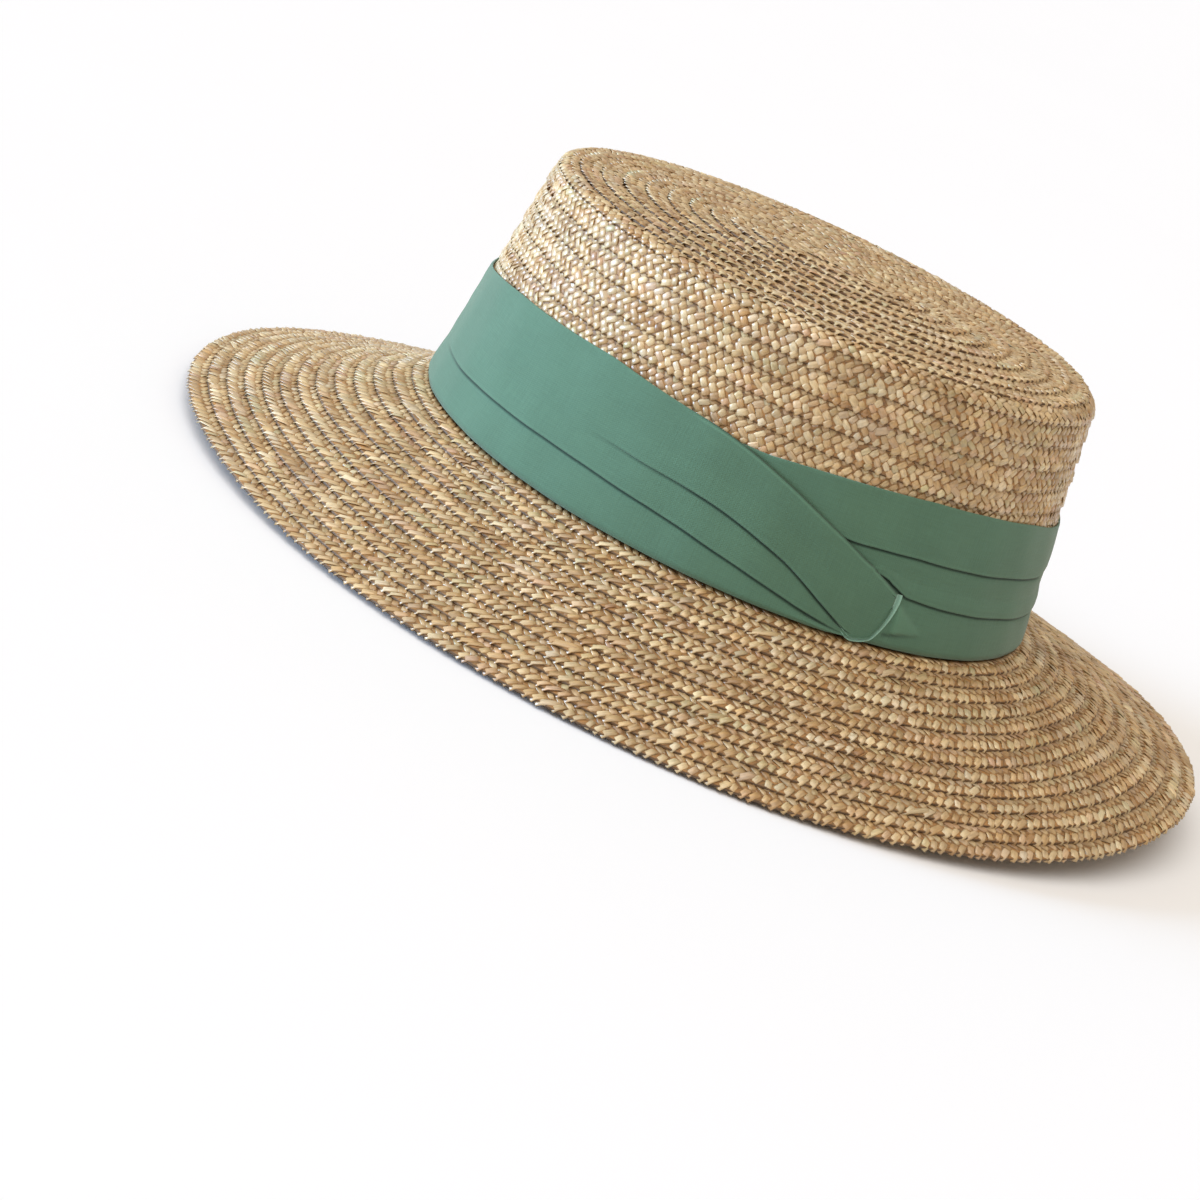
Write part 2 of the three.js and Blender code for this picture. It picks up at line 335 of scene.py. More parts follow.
class BrimSurface(StrawSurface):
    """The brim, from the crown's foot down to its edge, with faint waves in its sheet.

    It falls straight but for a shallow hollow in front, on the side away from the band's lap.
    """

    def __init__(self, form: HatForm, pitch: float = 5.4 * MM) -> None:
        width = (form.brim_half_width + form.brim_half_length - form.half_width - form.half_length) / 2
        super().__init__(form, round(math.hypot(width, form.brim_fall) / pitch), wander=0.1, seed=8)
        self.flutter = 0.2 * MM
        self.hollow = 4.6 * MM
        self.hollow_middle = -132.0
        self.hollow_reach = 75.0
        self.hollow_skew = 0.6

    def width(self, turn: Array) -> Array:
        """Level width of the brim at an angle, between its side width and its front width."""
        side = (self.form.brim_half_width - self.form.half_width) * np.cos(turn)
        front = (self.form.brim_half_length - self.form.half_length) * np.sin(turn)
        return np.hypot(side, front)

    def fall(self, turn: Array) -> Array:
        """Fall of the brim at an angle."""
        return self.form.brim_fall - self.form.brim_lift(turn)

    def row_size(self, turn: Array) -> Array:
        """Width of one row along the slope."""
        return np.hypot(self.width(turn), self.fall(turn)) / self.rows

    def place(self, turn: Array, row: Array, height: Array) -> Array:
        """Points on the brim: a straight fall between two ovals, less the hollow.

        The hollow is a half wave of a sine from foot to edge, deepest on the foot's side of the middle.
        A slow wave grows towards the edge.

        Args:
            turn: Angle of each point.
            row: Row count of each point, from the crown's foot.
            height: How far each point stands over the surface.

        Returns:
            The points.
        """
        form = self.form
        turn, row, height = np.broadcast_arrays(turn, row, height)
        share = self.strayed(turn, row) / self.rows
        steep = np.arctan2(self.fall(turn), self.width(turn))
        window = bulge_round(turn, self.hollow_middle, self.hollow_reach)
        hollow = self.hollow * window * np.sin(math.pi * np.clip(share, 0.0, 1.0) ** self.hollow_skew)
        flutter = self.flutter * share * (np.sin(5 * turn + 0.6) + np.sin(8 * turn + 2 + share))
        return oval(
            turn,
            form.half_width + share * (form.brim_half_width - form.half_width),
            form.half_length + share * (form.brim_half_length - form.half_length),
            height * np.sin(steep),
            form.foot - share * self.fall(turn) - hollow + flutter + height * np.cos(steep),
        )


@dataclass
class Skin:
    """Vertices of many bodies at once, with what the finish reads on them.

    Attributes:
        points: Places, shaped bodies, stations, ring, 3.
        uv: Surface coordinates, shaped bodies, stations, ring, 2.
        tint: Linear colours with painted light and shade multiplied in, shaped bodies, stations, ring, 3.
    """

    points: Array
    uv: Array
    tint: Array


def solid(name: str, skin: Skin, run_closes: bool, finish: bpy.types.Material) -> bpy.types.Object:
    """Make one object of closed bodies, each a ring of points carried along its stations.

    Faces join neighbouring stations round the ring. A run that doesn't close on itself gets a flat
    face at each end. All faces are turned over if the volume that they close comes out negative.

    Args:
        name: Name of the object.
        skin: The bodies' vertices.
        run_closes: Whether the last station joins the first.
        finish: Material of the object.

    Returns:
        The object, linked to the scene.
    """
    bodies, stations, ring = skin.points.shape[:3]
    index = np.arange(bodies * stations * ring).reshape(bodies, stations, ring)
    near = index if run_closes else index[:, :-1]
    far = np.roll(index, -1, axis=1) if run_closes else index[:, 1:]
    quads = np.stack(
        [near, far, np.roll(far, -1, axis=2), np.roll(near, -1, axis=2)], axis=-1
    ).reshape(-1, 4)
    flat = skin.points.reshape(-1, 3)
    middle = flat.mean(axis=0)
    a, b, c, d = (flat[quads[:, i]] - middle for i in range(4))
    volume = np.einsum("ij,ij->", a, np.cross(b, c)) + np.einsum("ij,ij->", a, np.cross(c, d))
    caps = np.empty((0, ring), int)
    if not run_closes:
        caps = np.concatenate([index[:, 0], index[:, -1, ::-1]])
    if volume < 0:
        quads = quads[:, ::-1]
        caps = caps[:, ::-1]
    loops = np.concatenate([quads.reshape(-1), caps.reshape(-1)])
    sizes = np.concatenate([np.full(len(quads), 4), np.full(len(caps), ring)])
    starts = np.concatenate([[0], np.cumsum(sizes)[:-1]])
    mesh = bpy.data.meshes.new(name)
    mesh.vertices.add(len(flat))
    mesh.vertices.foreach_set("co", flat.astype(np.float32).reshape(-1))
    mesh.loops.add(len(loops))
    mesh.loops.foreach_set("vertex_index", loops.astype(np.int32))
    mesh.polygons.add(len(sizes))
    mesh.polygons.foreach_set("loop_start", starts.astype(np.int32))
    mesh.polygons.foreach_set("loop_total", sizes.astype(np.int32))
    mesh.polygons.foreach_set("use_smooth", np.ones(len(sizes), bool))
    layer = mesh.uv_layers.new(name="weave")
    layer.data.foreach_set("uv", skin.uv.reshape(-1, 2)[loops].astype(np.float32).reshape(-1))
    tint = mesh.color_attributes.new(name="tint", type="FLOAT_COLOR", domain="POINT")
    colours = np.ones((len(flat), 4), np.float32)
    colours[:, :3] = skin.tint.reshape(-1, 3)
    tint.data.foreach_set("color", colours.reshape(-1))
    mesh.update(calc_edges=True)
    mesh.validate()
    mesh.materials.append(finish)
    piece = bpy.data.objects.new(name, mesh)
    bpy.context.scene.collection.objects.link(piece)
    return piece


class Nodes:
    """A short way to place shader nodes in a tree and join them.

    Args:
        tree: The node tree to fill.
    """

    def __init__(self, tree: bpy.types.NodeTree) -> None:
        self.tree = tree

    def add(
        self, kind: str, inputs: dict[str | int, object] | None = None, **settings: object
    ) -> bpy.types.Node:
        """Place a node, set its options and set or join its inputs.

        Args:
            kind: Blender's name of the node type.
            inputs: Values or output sockets, by the name or number of the input.
            **settings: Options of the node.

        Returns:
            The new node.
        """
        node = self.tree.nodes.new(kind)
        for option, value in settings.items():
            setattr(node, option, value)
        for key, value in (inputs or {}).items():
            if isinstance(value, bpy.types.NodeSocket):
                self.tree.links.new(value, node.inputs[key])
            else:
                node.inputs[key].default_value = value
        return node

    def math(self, operation: str, first: object, second: object = 0.0) -> bpy.types.NodeSocket:
        """The output of one sum on two values or sockets."""
        return self.add("ShaderNodeMath", {0: first, 1: second}, operation=operation).outputs[0]

    def multiply(self, colour: object, shade: object) -> bpy.types.NodeSocket:
        """A colour multiplied by a shade."""
        inputs = {0: 1.0, 6: colour, 7: shade}
        return self.add("ShaderNodeMix", inputs, data_type="RGBA", blend_type="MULTIPLY").outputs[2]


def effect_group(name: str, inputs: dict[str, tuple[str, object]], outputs: list[str]) -> bpy.types.NodeTree:
    """An empty node group with named sockets.

    Args:
        name: Name of the group.
        inputs: For each input, its socket type and first value.
        outputs: Names of the outputs, all plain numbers.

    Returns:
        The group.
    """
    group = bpy.data.node_groups.new(name, "ShaderNodeTree")
    for socket, (kind, value) in inputs.items():
        made = group.interface.new_socket(name=socket, in_out="INPUT", socket_type=kind)
        if value is not None:
            made.default_value = value
    for socket in outputs:
        group.interface.new_socket(name=socket, in_out="OUTPUT", socket_type="NodeSocketFloat")
    return group


def fibre_effect() -> bpy.types.NodeTree:
    """Fine streaks along a straw: noise that is stretched along the straw and thin across it.

    Returns:
        A group that turns surface coordinates into a shade and a height.
    """
    group = effect_group(
        "straw_fibre",
        {
            "Vector": ("NodeSocketVector", None),
            "Across": ("NodeSocketFloat", 1.6),
            "Along": ("NodeSocketFloat", 0.5),
            "Contrast": ("NodeSocketFloat", 0.3),
        },
        ["Shade", "Height"],
    )
    nodes = Nodes(group)
    given = nodes.add("NodeGroupInput").outputs
    scale = nodes.add("ShaderNodeCombineXYZ", {0: given["Across"], 1: given["Along"], 2: 1.0}).outputs[0]
    stretched = nodes.add(
        "ShaderNodeVectorMath", {0: given["Vector"], 1: scale}, operation="MULTIPLY"
    ).outputs[0]
    noise = nodes.add("ShaderNodeTexNoise", {"Vector": stretched, "Scale": 1.0, "Detail": 3.0}).outputs["Fac"]
    centred = nodes.math("SUBTRACT", noise, 0.5)
    swing = nodes.math("MULTIPLY", centred, given["Contrast"])
    shade = nodes.math("ADD", nodes.math("MULTIPLY", swing, 2.0), 1.0)
    nodes.add("NodeGroupOutput", {"Shade": shade, "Height": noise})
    return group


def strokes_effect() -> bpy.types.NodeTree:
    """Straws drawn on a face: slanting strokes in columns, each column slanting against the next.

    The place across gives a column, and the place along, moved on by a share of the place in the
    column, gives a stroke. A stroke's height is a product of two parabolas, one across and one along.

    Returns:
        A group that turns surface coordinates in millimetres into a shade and a height.
    """
    group = effect_group(
        "straw_strokes",
        {
            "Vector": ("NodeSocketVector", None),
            "Column": ("NodeSocketFloat", 2.4),
            "Cell": ("NodeSocketFloat", 3.0),
            "Contrast": ("NodeSocketFloat", 0.4),
        },
        ["Shade", "Height"],
    )
    nodes = Nodes(group)
    given = nodes.add("NodeGroupInput").outputs
    parts = nodes.add("ShaderNodeSeparateXYZ", {0: given["Vector"]}).outputs
    across = nodes.math("DIVIDE", parts[0], given["Column"])
    column = nodes.math("FLOOR", across)
    share = nodes.math("SUBTRACT", across, column)
    side = nodes.math("SUBTRACT", nodes.math("MULTIPLY", nodes.math("PINGPONG", column, 1.0), 1.6), 0.8)
    along = nodes.math("DIVIDE", parts[1], given["Cell"])
    along = nodes.math("ADD", along, nodes.math("MULTIPLY", side, share))
    along = nodes.math("ADD", along, nodes.math("MULTIPLY", column, 0.5))
    stroke = nodes.math("FLOOR", along)
    within = nodes.math("SUBTRACT", along, stroke)
    heights = []
    for place in (share, within):
        left = nodes.math("SUBTRACT", 1.0, place)
        heights.append(nodes.math("MULTIPLY", nodes.math("MULTIPLY", place, left), 4.0))
    height = nodes.math("POWER", nodes.math("MULTIPLY", heights[0], heights[1]), 0.35)
    pair = nodes.add("ShaderNodeCombineXYZ", {0: column, 1: stroke}).outputs[0]
    own = nodes.add("ShaderNodeTexWhiteNoise", {"Vector": pair}, noise_dimensions="2D").outputs["Value"]
    swing = nodes.math("MULTIPLY", nodes.math("SUBTRACT", own, 0.5), given["Contrast"])
    # Painted shade: each stroke darkens towards its edges and ends, where straws meet in gaps.
    painted_shading = nodes.math("ADD", nodes.math("MULTIPLY", height, 0.6), 0.45)
    nodes.add("NodeGroupOutput", {"Shade": nodes.math("ADD", painted_shading, swing), "Height": height})
    return group


def weave_effect() -> bpy.types.NodeTree:
    """A fine plain weave: threads both ways, one over one under, with uneven thickness.

    The height is the product of two sines of the surface coordinates, which is the chequer of a plain
    weave, and slow noise stretched along each thread direction makes threads thicker and thinner.

    Returns:
        A group that turns surface coordinates in metres into a shade and a height.
    """
    group = effect_group(
        "cloth_weave",
        {
            "Vector": ("NodeSocketVector", None),
            "Threads": ("NodeSocketFloat", 2000.0),
            "Contrast": ("NodeSocketFloat", 0.2),
        },
        ["Shade", "Height"],
    )
    nodes = Nodes(group)
    given = nodes.add("NodeGroupInput").outputs
    parts = nodes.add("ShaderNodeSeparateXYZ", {0: given["Vector"]}).outputs
    rate = nodes.math("MULTIPLY", given["Threads"], math.pi)
    warp = nodes.math("SINE", nodes.math("MULTIPLY", parts[0], rate))
    weft = nodes.math("SINE", nodes.math("MULTIPLY", parts[1], rate))
    chequer = nodes.math("MULTIPLY", warp, weft)
    slubs = []
    for stretch in ((0.06, 1.0), (1.0, 0.06)):
        scale = nodes.add("ShaderNodeCombineXYZ", {0: stretch[0], 1: stretch[1], 2: 1.0}).outputs[0]
        place = nodes.add("ShaderNodeVectorMath", {0: given["Vector"], 1: scale}, operation="MULTIPLY")
        noise = nodes.add(
            "ShaderNodeTexNoise", {"Vector": place.outputs[0], "Scale": 2200.0, "Detail": 2.0}
        )
        slubs.append(nodes.math("SUBTRACT", noise.outputs["Fac"], 0.5))
    slub = nodes.math("ADD", slubs[0], slubs[1])
    height = nodes.math("ADD", nodes.math("MULTIPLY", chequer, 0.35), nodes.math("MULTIPLY", slub, 1.6))
    shade = nodes.math("ADD", nodes.math("MULTIPLY", height, given["Contrast"]), 1.0)
    nodes.add("NodeGroupOutput", {"Shade": shade, "Height": height})
    return group


def blank_material(name: str) -> tuple[bpy.types.Material, Nodes, bpy.types.Node]:
    """A material with a Principled BSDF joined to its output.

    Args:
        name: Name of the material.

    Returns:
        The material, its nodes and the shader node.
    """
    material = bpy.data.materials.new(name)
    material.use_nodes = True
    material.node_tree.nodes.clear()
    nodes = Nodes(material.node_tree)
    shader = nodes.add("ShaderNodeBsdfPrincipled")
    nodes.add("ShaderNodeOutputMaterial", {"Surface": shader.outputs["BSDF"]})
    return material, nodes, shader


@dataclass(frozen=True)
class StrawFinish:
    """Split wheat straw: a smooth waxy skin with fibres along it, each straw with its own tint.

    Attributes:
        name: Name of the material.
        roughness: Roughness of the skin.
        contrast: Strength of the fibre streaks.
        relief: Height of the fibres.
        wax: Strength of the waxy film on the skin.
        plaited: Whether straws are drawn on the face, for a core whose inner side shows.
    """

    name: str
    roughness: float = 0.4
    contrast: float = 0.52
    relief: float = 0.05 * MM
    wax: float = 0.4
    plaited: bool = False

    def make(self, fibre: bpy.types.NodeTree, strokes: bpy.types.NodeTree) -> bpy.types.Material:
        """Build the material.

        Args:
            fibre: The group that gives the streaks.
            strokes: The group that draws straws.

        Returns:
            The material.
        """
        material, nodes, shader = blank_material(self.name)
        uv = nodes.add("ShaderNodeUVMap", uv_map="weave").outputs["UV"]
        streak = nodes.add("ShaderNodeGroup", {"Vector": uv, "Contrast": self.contrast}, node_tree=fibre)
        # The tint holds each straw's colour with its painted light and shade.
        tint = nodes.add("ShaderNodeAttribute", attribute_name="tint").outputs["Color"]
        colour = nodes.multiply(tint, streak.outputs["Shade"])
        height, depth = streak.outputs["Height"], self.relief
        if self.plaited:
            drawn = nodes.add("ShaderNodeGroup", {"Vector": uv}, node_tree=strokes)
            colour = nodes.multiply(colour, drawn.outputs["Shade"])
            height, depth = drawn.outputs["Height"], 0.4 * MM
        rough = nodes.math(
            "ADD", nodes.math("MULTIPLY", streak.outputs["Height"], 0.22), self.roughness - 0.11
        )
        bump = nodes.add("ShaderNodeBump", {"Height": height, "Distance": depth, "Strength": 0.6})
        nodes.tree.links.new(colour, shader.inputs["Base Color"])
        nodes.tree.links.new(rough, shader.inputs["Roughness"])
        nodes.tree.links.new(bump.outputs["Normal"], shader.inputs["Normal"])
        shader.inputs["Specular IOR Level"].default_value = 0.8
        shader.inputs["Coat Weight"].default_value = self.wax
        shader.inputs["Coat Roughness"].default_value = 0.3
        return material


@dataclass(frozen=True)
class ClothFinish:
    """Matte fine-woven cotton.

    Attributes:
        name: Name of the material.
        colour: Hex colour of the dyed cloth.
        threads: Threads for each metre.
        contrast: Strength of the weave's light and dark.
        relief: Height of the weave.
        sheen: Strength of the soft light on its fuzz.
    """

    name: str
    colour: str
    threads: float = 2500.0
    contrast: float = 0.13
    relief: float = 0.08 * MM
    sheen: float = 0.25

    def make(self, weave: bpy.types.NodeTree) -> bpy.types.Material:
        """Build the material.

        Args:
            weave: The group that gives the threads.

        Returns:
            The material.
        """
        material, nodes, shader = blank_material(self.name)
        uv = nodes.add("ShaderNodeUVMap", uv_map="weave").outputs["UV"]
        given = {"Vector": uv, "Threads": self.threads, "Contrast": self.contrast}
        threads = nodes.add("ShaderNodeGroup", given, node_tree=weave)
        fade = nodes.add("ShaderNodeTexNoise", {"Vector": uv, "Scale": 45.0, "Detail": 4.0}).outputs["Fac"]
        cloud = nodes.math("ADD", nodes.math("MULTIPLY", fade, 0.24), 0.88)
        base = (*linear_colour(self.colour), 1.0)
        # The tint carries painted light and shade: fold crevices, the lap's edge, the pulled fold and the
        # rim's bead.
        painted_light_and_shade = nodes.add("ShaderNodeAttribute", attribute_name="tint").outputs["Color"]
        woven = nodes.multiply(nodes.multiply(base, threads.outputs["Shade"]), cloud)
        colour = nodes.multiply(woven, painted_light_and_shade)
        bump = nodes.add(
            "ShaderNodeBump", {"Height": threads.outputs["Height"], "Distance": self.relief, "Strength": 0.5}
        )
        nodes.tree.links.new(colour, shader.inputs["Base Color"])
        nodes.tree.links.new(bump.outputs["Normal"], shader.inputs["Normal"])
        shader.inputs["Roughness"].default_value = 0.88
        shader.inputs["Specular IOR Level"].default_value = 0.25
        shader.inputs["Sheen Weight"].default_value = self.sheen
        shader.inputs["Sheen Roughness"].default_value = 0.5
        return material


class Side(Enum):
    """Which face of the plait a straw shows on."""

    OUTER = 1
    UNDER = -1


@dataclass(frozen=True)
class Unevenness:
    """How much straws differ from each other, each as a standard deviation.

    Attributes:
        slant: Of the slant, in radians.
        across: Of the place across the plait.
        along: Of the place along the plait.
        breadth: Of the width, as a share of it.
        rise: Of the height over the core.
        roll: Of the sideways tilt, as a height over a width.
    """

    slant: float = 0.15
    across: float = 0.12 * MM
    along: float = 0.24 * MM
    breadth: float = 0.1
    rise: float = 0.04 * MM
    roll: float = 0.13


@dataclass(frozen=True)
class Plait:
    """A flat plait of split straws, and how it lies on a surface.

    Across the plait, distances run from its free edge inwards. Its upper face falls from the free edge
    to the edge that is tucked under the next row in. The straws go over one and under one, so they
    show in columns that run along the plait, and each column slants against the one beside it.

    Attributes:
        width: Width of the plait beyond one row of the surface.
        edge_depth: Depth of its core below the surface at the free edge.
        fall: How much deeper the core lies one row further in.
        thickness: Thickness of the core.
        cell: Distance between straws along a column.
        slant: Angle between a straw and the plait.
        straw_width: Width of a straw.
        bulge: How far a straw stands over the core.
        dive: How far a straw's hidden ends go on under the columns beside it.
        uneven: How much its straws differ.
    """

    width: float = 1.4 * MM
    edge_depth: float = 0.3 * MM
    fall: float = 0.8 * MM
    thickness: float = 0.6 * MM
    cell: float = 3.0 * MM
    slant: float = math.radians(48.0)
    straw_width: float = 2.2 * MM
    bulge: float = 0.36 * MM
    dive: float = 0.45 * MM
    uneven: Unevenness = Unevenness()

    def level(self, across: Array, row_size: Array) -> Array:
        """Height of the core's upper face: a straight fall over one row, then level."""
        return -self.edge_depth - self.fall * np.clip(across / row_size, 0.0, 1.0)


@dataclass(frozen=True)
class StrawPath:
    """The way of one straw over the plait, as shares and depths at a few stations.

    Attributes:
        start: Distance across the plait where it comes up.
        end: Distance across the plait where it goes down.
        forward: 1 if its end lies further along the plait than its start, otherwise -1.
        shift: Place along the plait of its middle, as a share of a cell.
        stations: At each station, the share of the way, the height as a share of the bulge, the width
        as a share of the straw's width, and the brightness, which is painted light and shade.
    """

    start: float
    end: float
    forward: int
    shift: float
    stations: tuple[tuple[float, float, float, float], ...]


# Cross-section of a straw, as shares of its half width and of its bulge.
RING = np.array([[-1.0, 0.0], [-0.68, 0.8], [0.68, 0.8], [1.0, 0.0], [0.0, -0.7]])

# Stations of the kinds of straw, each a share of the way, a height, a width and a brightness.
# The brightness is painted shade where a straw's ends dive under the columns beside it or under the next row,
# and a painted highlight where edge straws wrap the free edge.
OVER_STATIONS = (
    (0.0, -0.6, 0.78, 0.62),
    (0.3, 0.85, 1.0, 1.0),
    (0.7, 0.9, 1.0, 1.0),
    (1.0, -0.6, 0.78, 0.62),
)
EDGE_STATIONS = (
    (0.0, -0.6, 0.78, 0.62),
    (0.35, 0.9, 1.0, 1.0),
    (0.8, 0.85, 0.97, 1.04),
    (1.0, -1.5, 0.8, 0.75),
)
TUCKED_STATIONS = (
    (0.0, -0.6, 0.78, 0.62),
    (0.28, 0.8, 1.0, 0.96),
    (0.56, 0.62, 1.0, 0.5),
    (1.0, -0.6, 0.78, 0.3),
)
UNDER_STATIONS = (
    (0.0, -0.5, 0.8, 0.6),
    (0.5, 1.0, 1.0, 1.0),
    (1.0, -0.5, 0.8, 0.6),
)

# Colours of dried wheat straw, each with its weight in the draw.
STRAW_TONES = (
    ("d8c49c", 0.16),
    ("cbb083", 0.26),
    ("be9d6b", 0.24),
    ("ad8552", 0.15),
    ("966b3c", 0.07),
    ("c69e80", 0.05),
    ("b0a87c", 0.04),
    ("d8c9b0", 0.03),
)

# Straw colour darkened with painted shade, for the core that shows in the gaps between straws.
SHADED_CORE_COLOUR = "9d713d"


def straw_tints(count: int, drift: Array, random: np.random.Generator) -> Array:
    """A colour for each straw, drawn from the tones of dried wheat, with slow drifts along the plait.

    Each colour is part its own, part shared with the next few straws.

    Args:
        count: Number of straws.
        drift: Slow brightness wave at each straw, around zero.
        random: Source of the draws.

    Returns:
        Linear colours, shaped count, 3.
    """
    tones = np.array([linear_colour(code) for code, _ in STRAW_TONES])
    weights = np.array([weight for _, weight in STRAW_TONES])
    chances = weights / weights.sum()
    bunch = 4
    picked = tones[random.choice(len(tones), count, p=chances)]
    other = tones[random.choice(len(tones), count, p=chances)]
    shared = tones[random.choice(len(tones), count // bunch + 1, p=chances)]
    shared = np.repeat(shared, bunch, axis=0)[:count]
    mixed = 0.35 * picked + 0.25 * other + 0.4 * shared
    brightness = random.normal(1.0, 0.06, (count, 1)) * (1.0 + drift[:, None])
    return np.clip(mixed * brightness, 0.01, 0.95)


@dataclass
class BraidRun:
    """Places along a plait where its straws or core sections sit.

    Attributes:
        turn: Angle at each place.
        edge: Row count of the free edge at each place.
        slope: Rows gained for each radian.
    """

    turn: Array
    edge: Array
    slope: float

    def take(self, keep: Array) -> "BraidRun":
        """The places that a mask keeps."""
        return BraidRun(self.turn[keep], self.edge[keep], self.slope)


def spiral_run(surface: StrawSurface, cell: float, first_edge: float) -> BraidRun:
    """Evenly spaced places along a spiral that gains one row each turn.

    The distance along it is summed from fine steps and then read back at even distances.

    Args:
        surface: The surface that it lies on.
        cell: Distance between places.
        first_edge: Row count of the free edge where the spiral starts.

    Returns:
        The places.
    """
    turns = surface.rows - first_edge
    fine = np.linspace(0.0, turns * FULL_TURN, int(turns * 720))
    edge = first_edge + fine / FULL_TURN
    speed = surface.speed(fine, edge - 0.5)
    travelled = running_total(speed, fine)
    places = np.arange(0.0, travelled[-1], cell)
    turn = np.interp(places, travelled, fine)
    return BraidRun(turn, first_edge + turn / FULL_TURN, 1 / FULL_TURN)


def ring_runs(surface: StrawSurface, cell: float, first: int, last: int) -> BraidRun:
    """Evenly spaced places round closed rings, one ring for each row.

    Args:
        surface: The surface that they lie on.
        cell: Distance between places.
        first: First row.
        last: Row after the last one.

    Returns:
        The places of all the rings.
    """
    turns, edges = [], []
    for row in range(first, last):
        fine = np.linspace(0.0, FULL_TURN, 1441)
        speed = surface.speed(fine, np.full_like(fine, row + 0.5))
        travelled = running_total(speed, fine)
        count = round(travelled[-1] / cell)
        places = (np.arange(count) + 0.37 * row % 1.0) * travelled[-1] / count
        turns.append(np.interp(places % travelled[-1], travelled, fine))
        edges.append(np.full(count, row + 1.0))
    return BraidRun(np.concatenate(turns), np.concatenate(edges), 0.0)


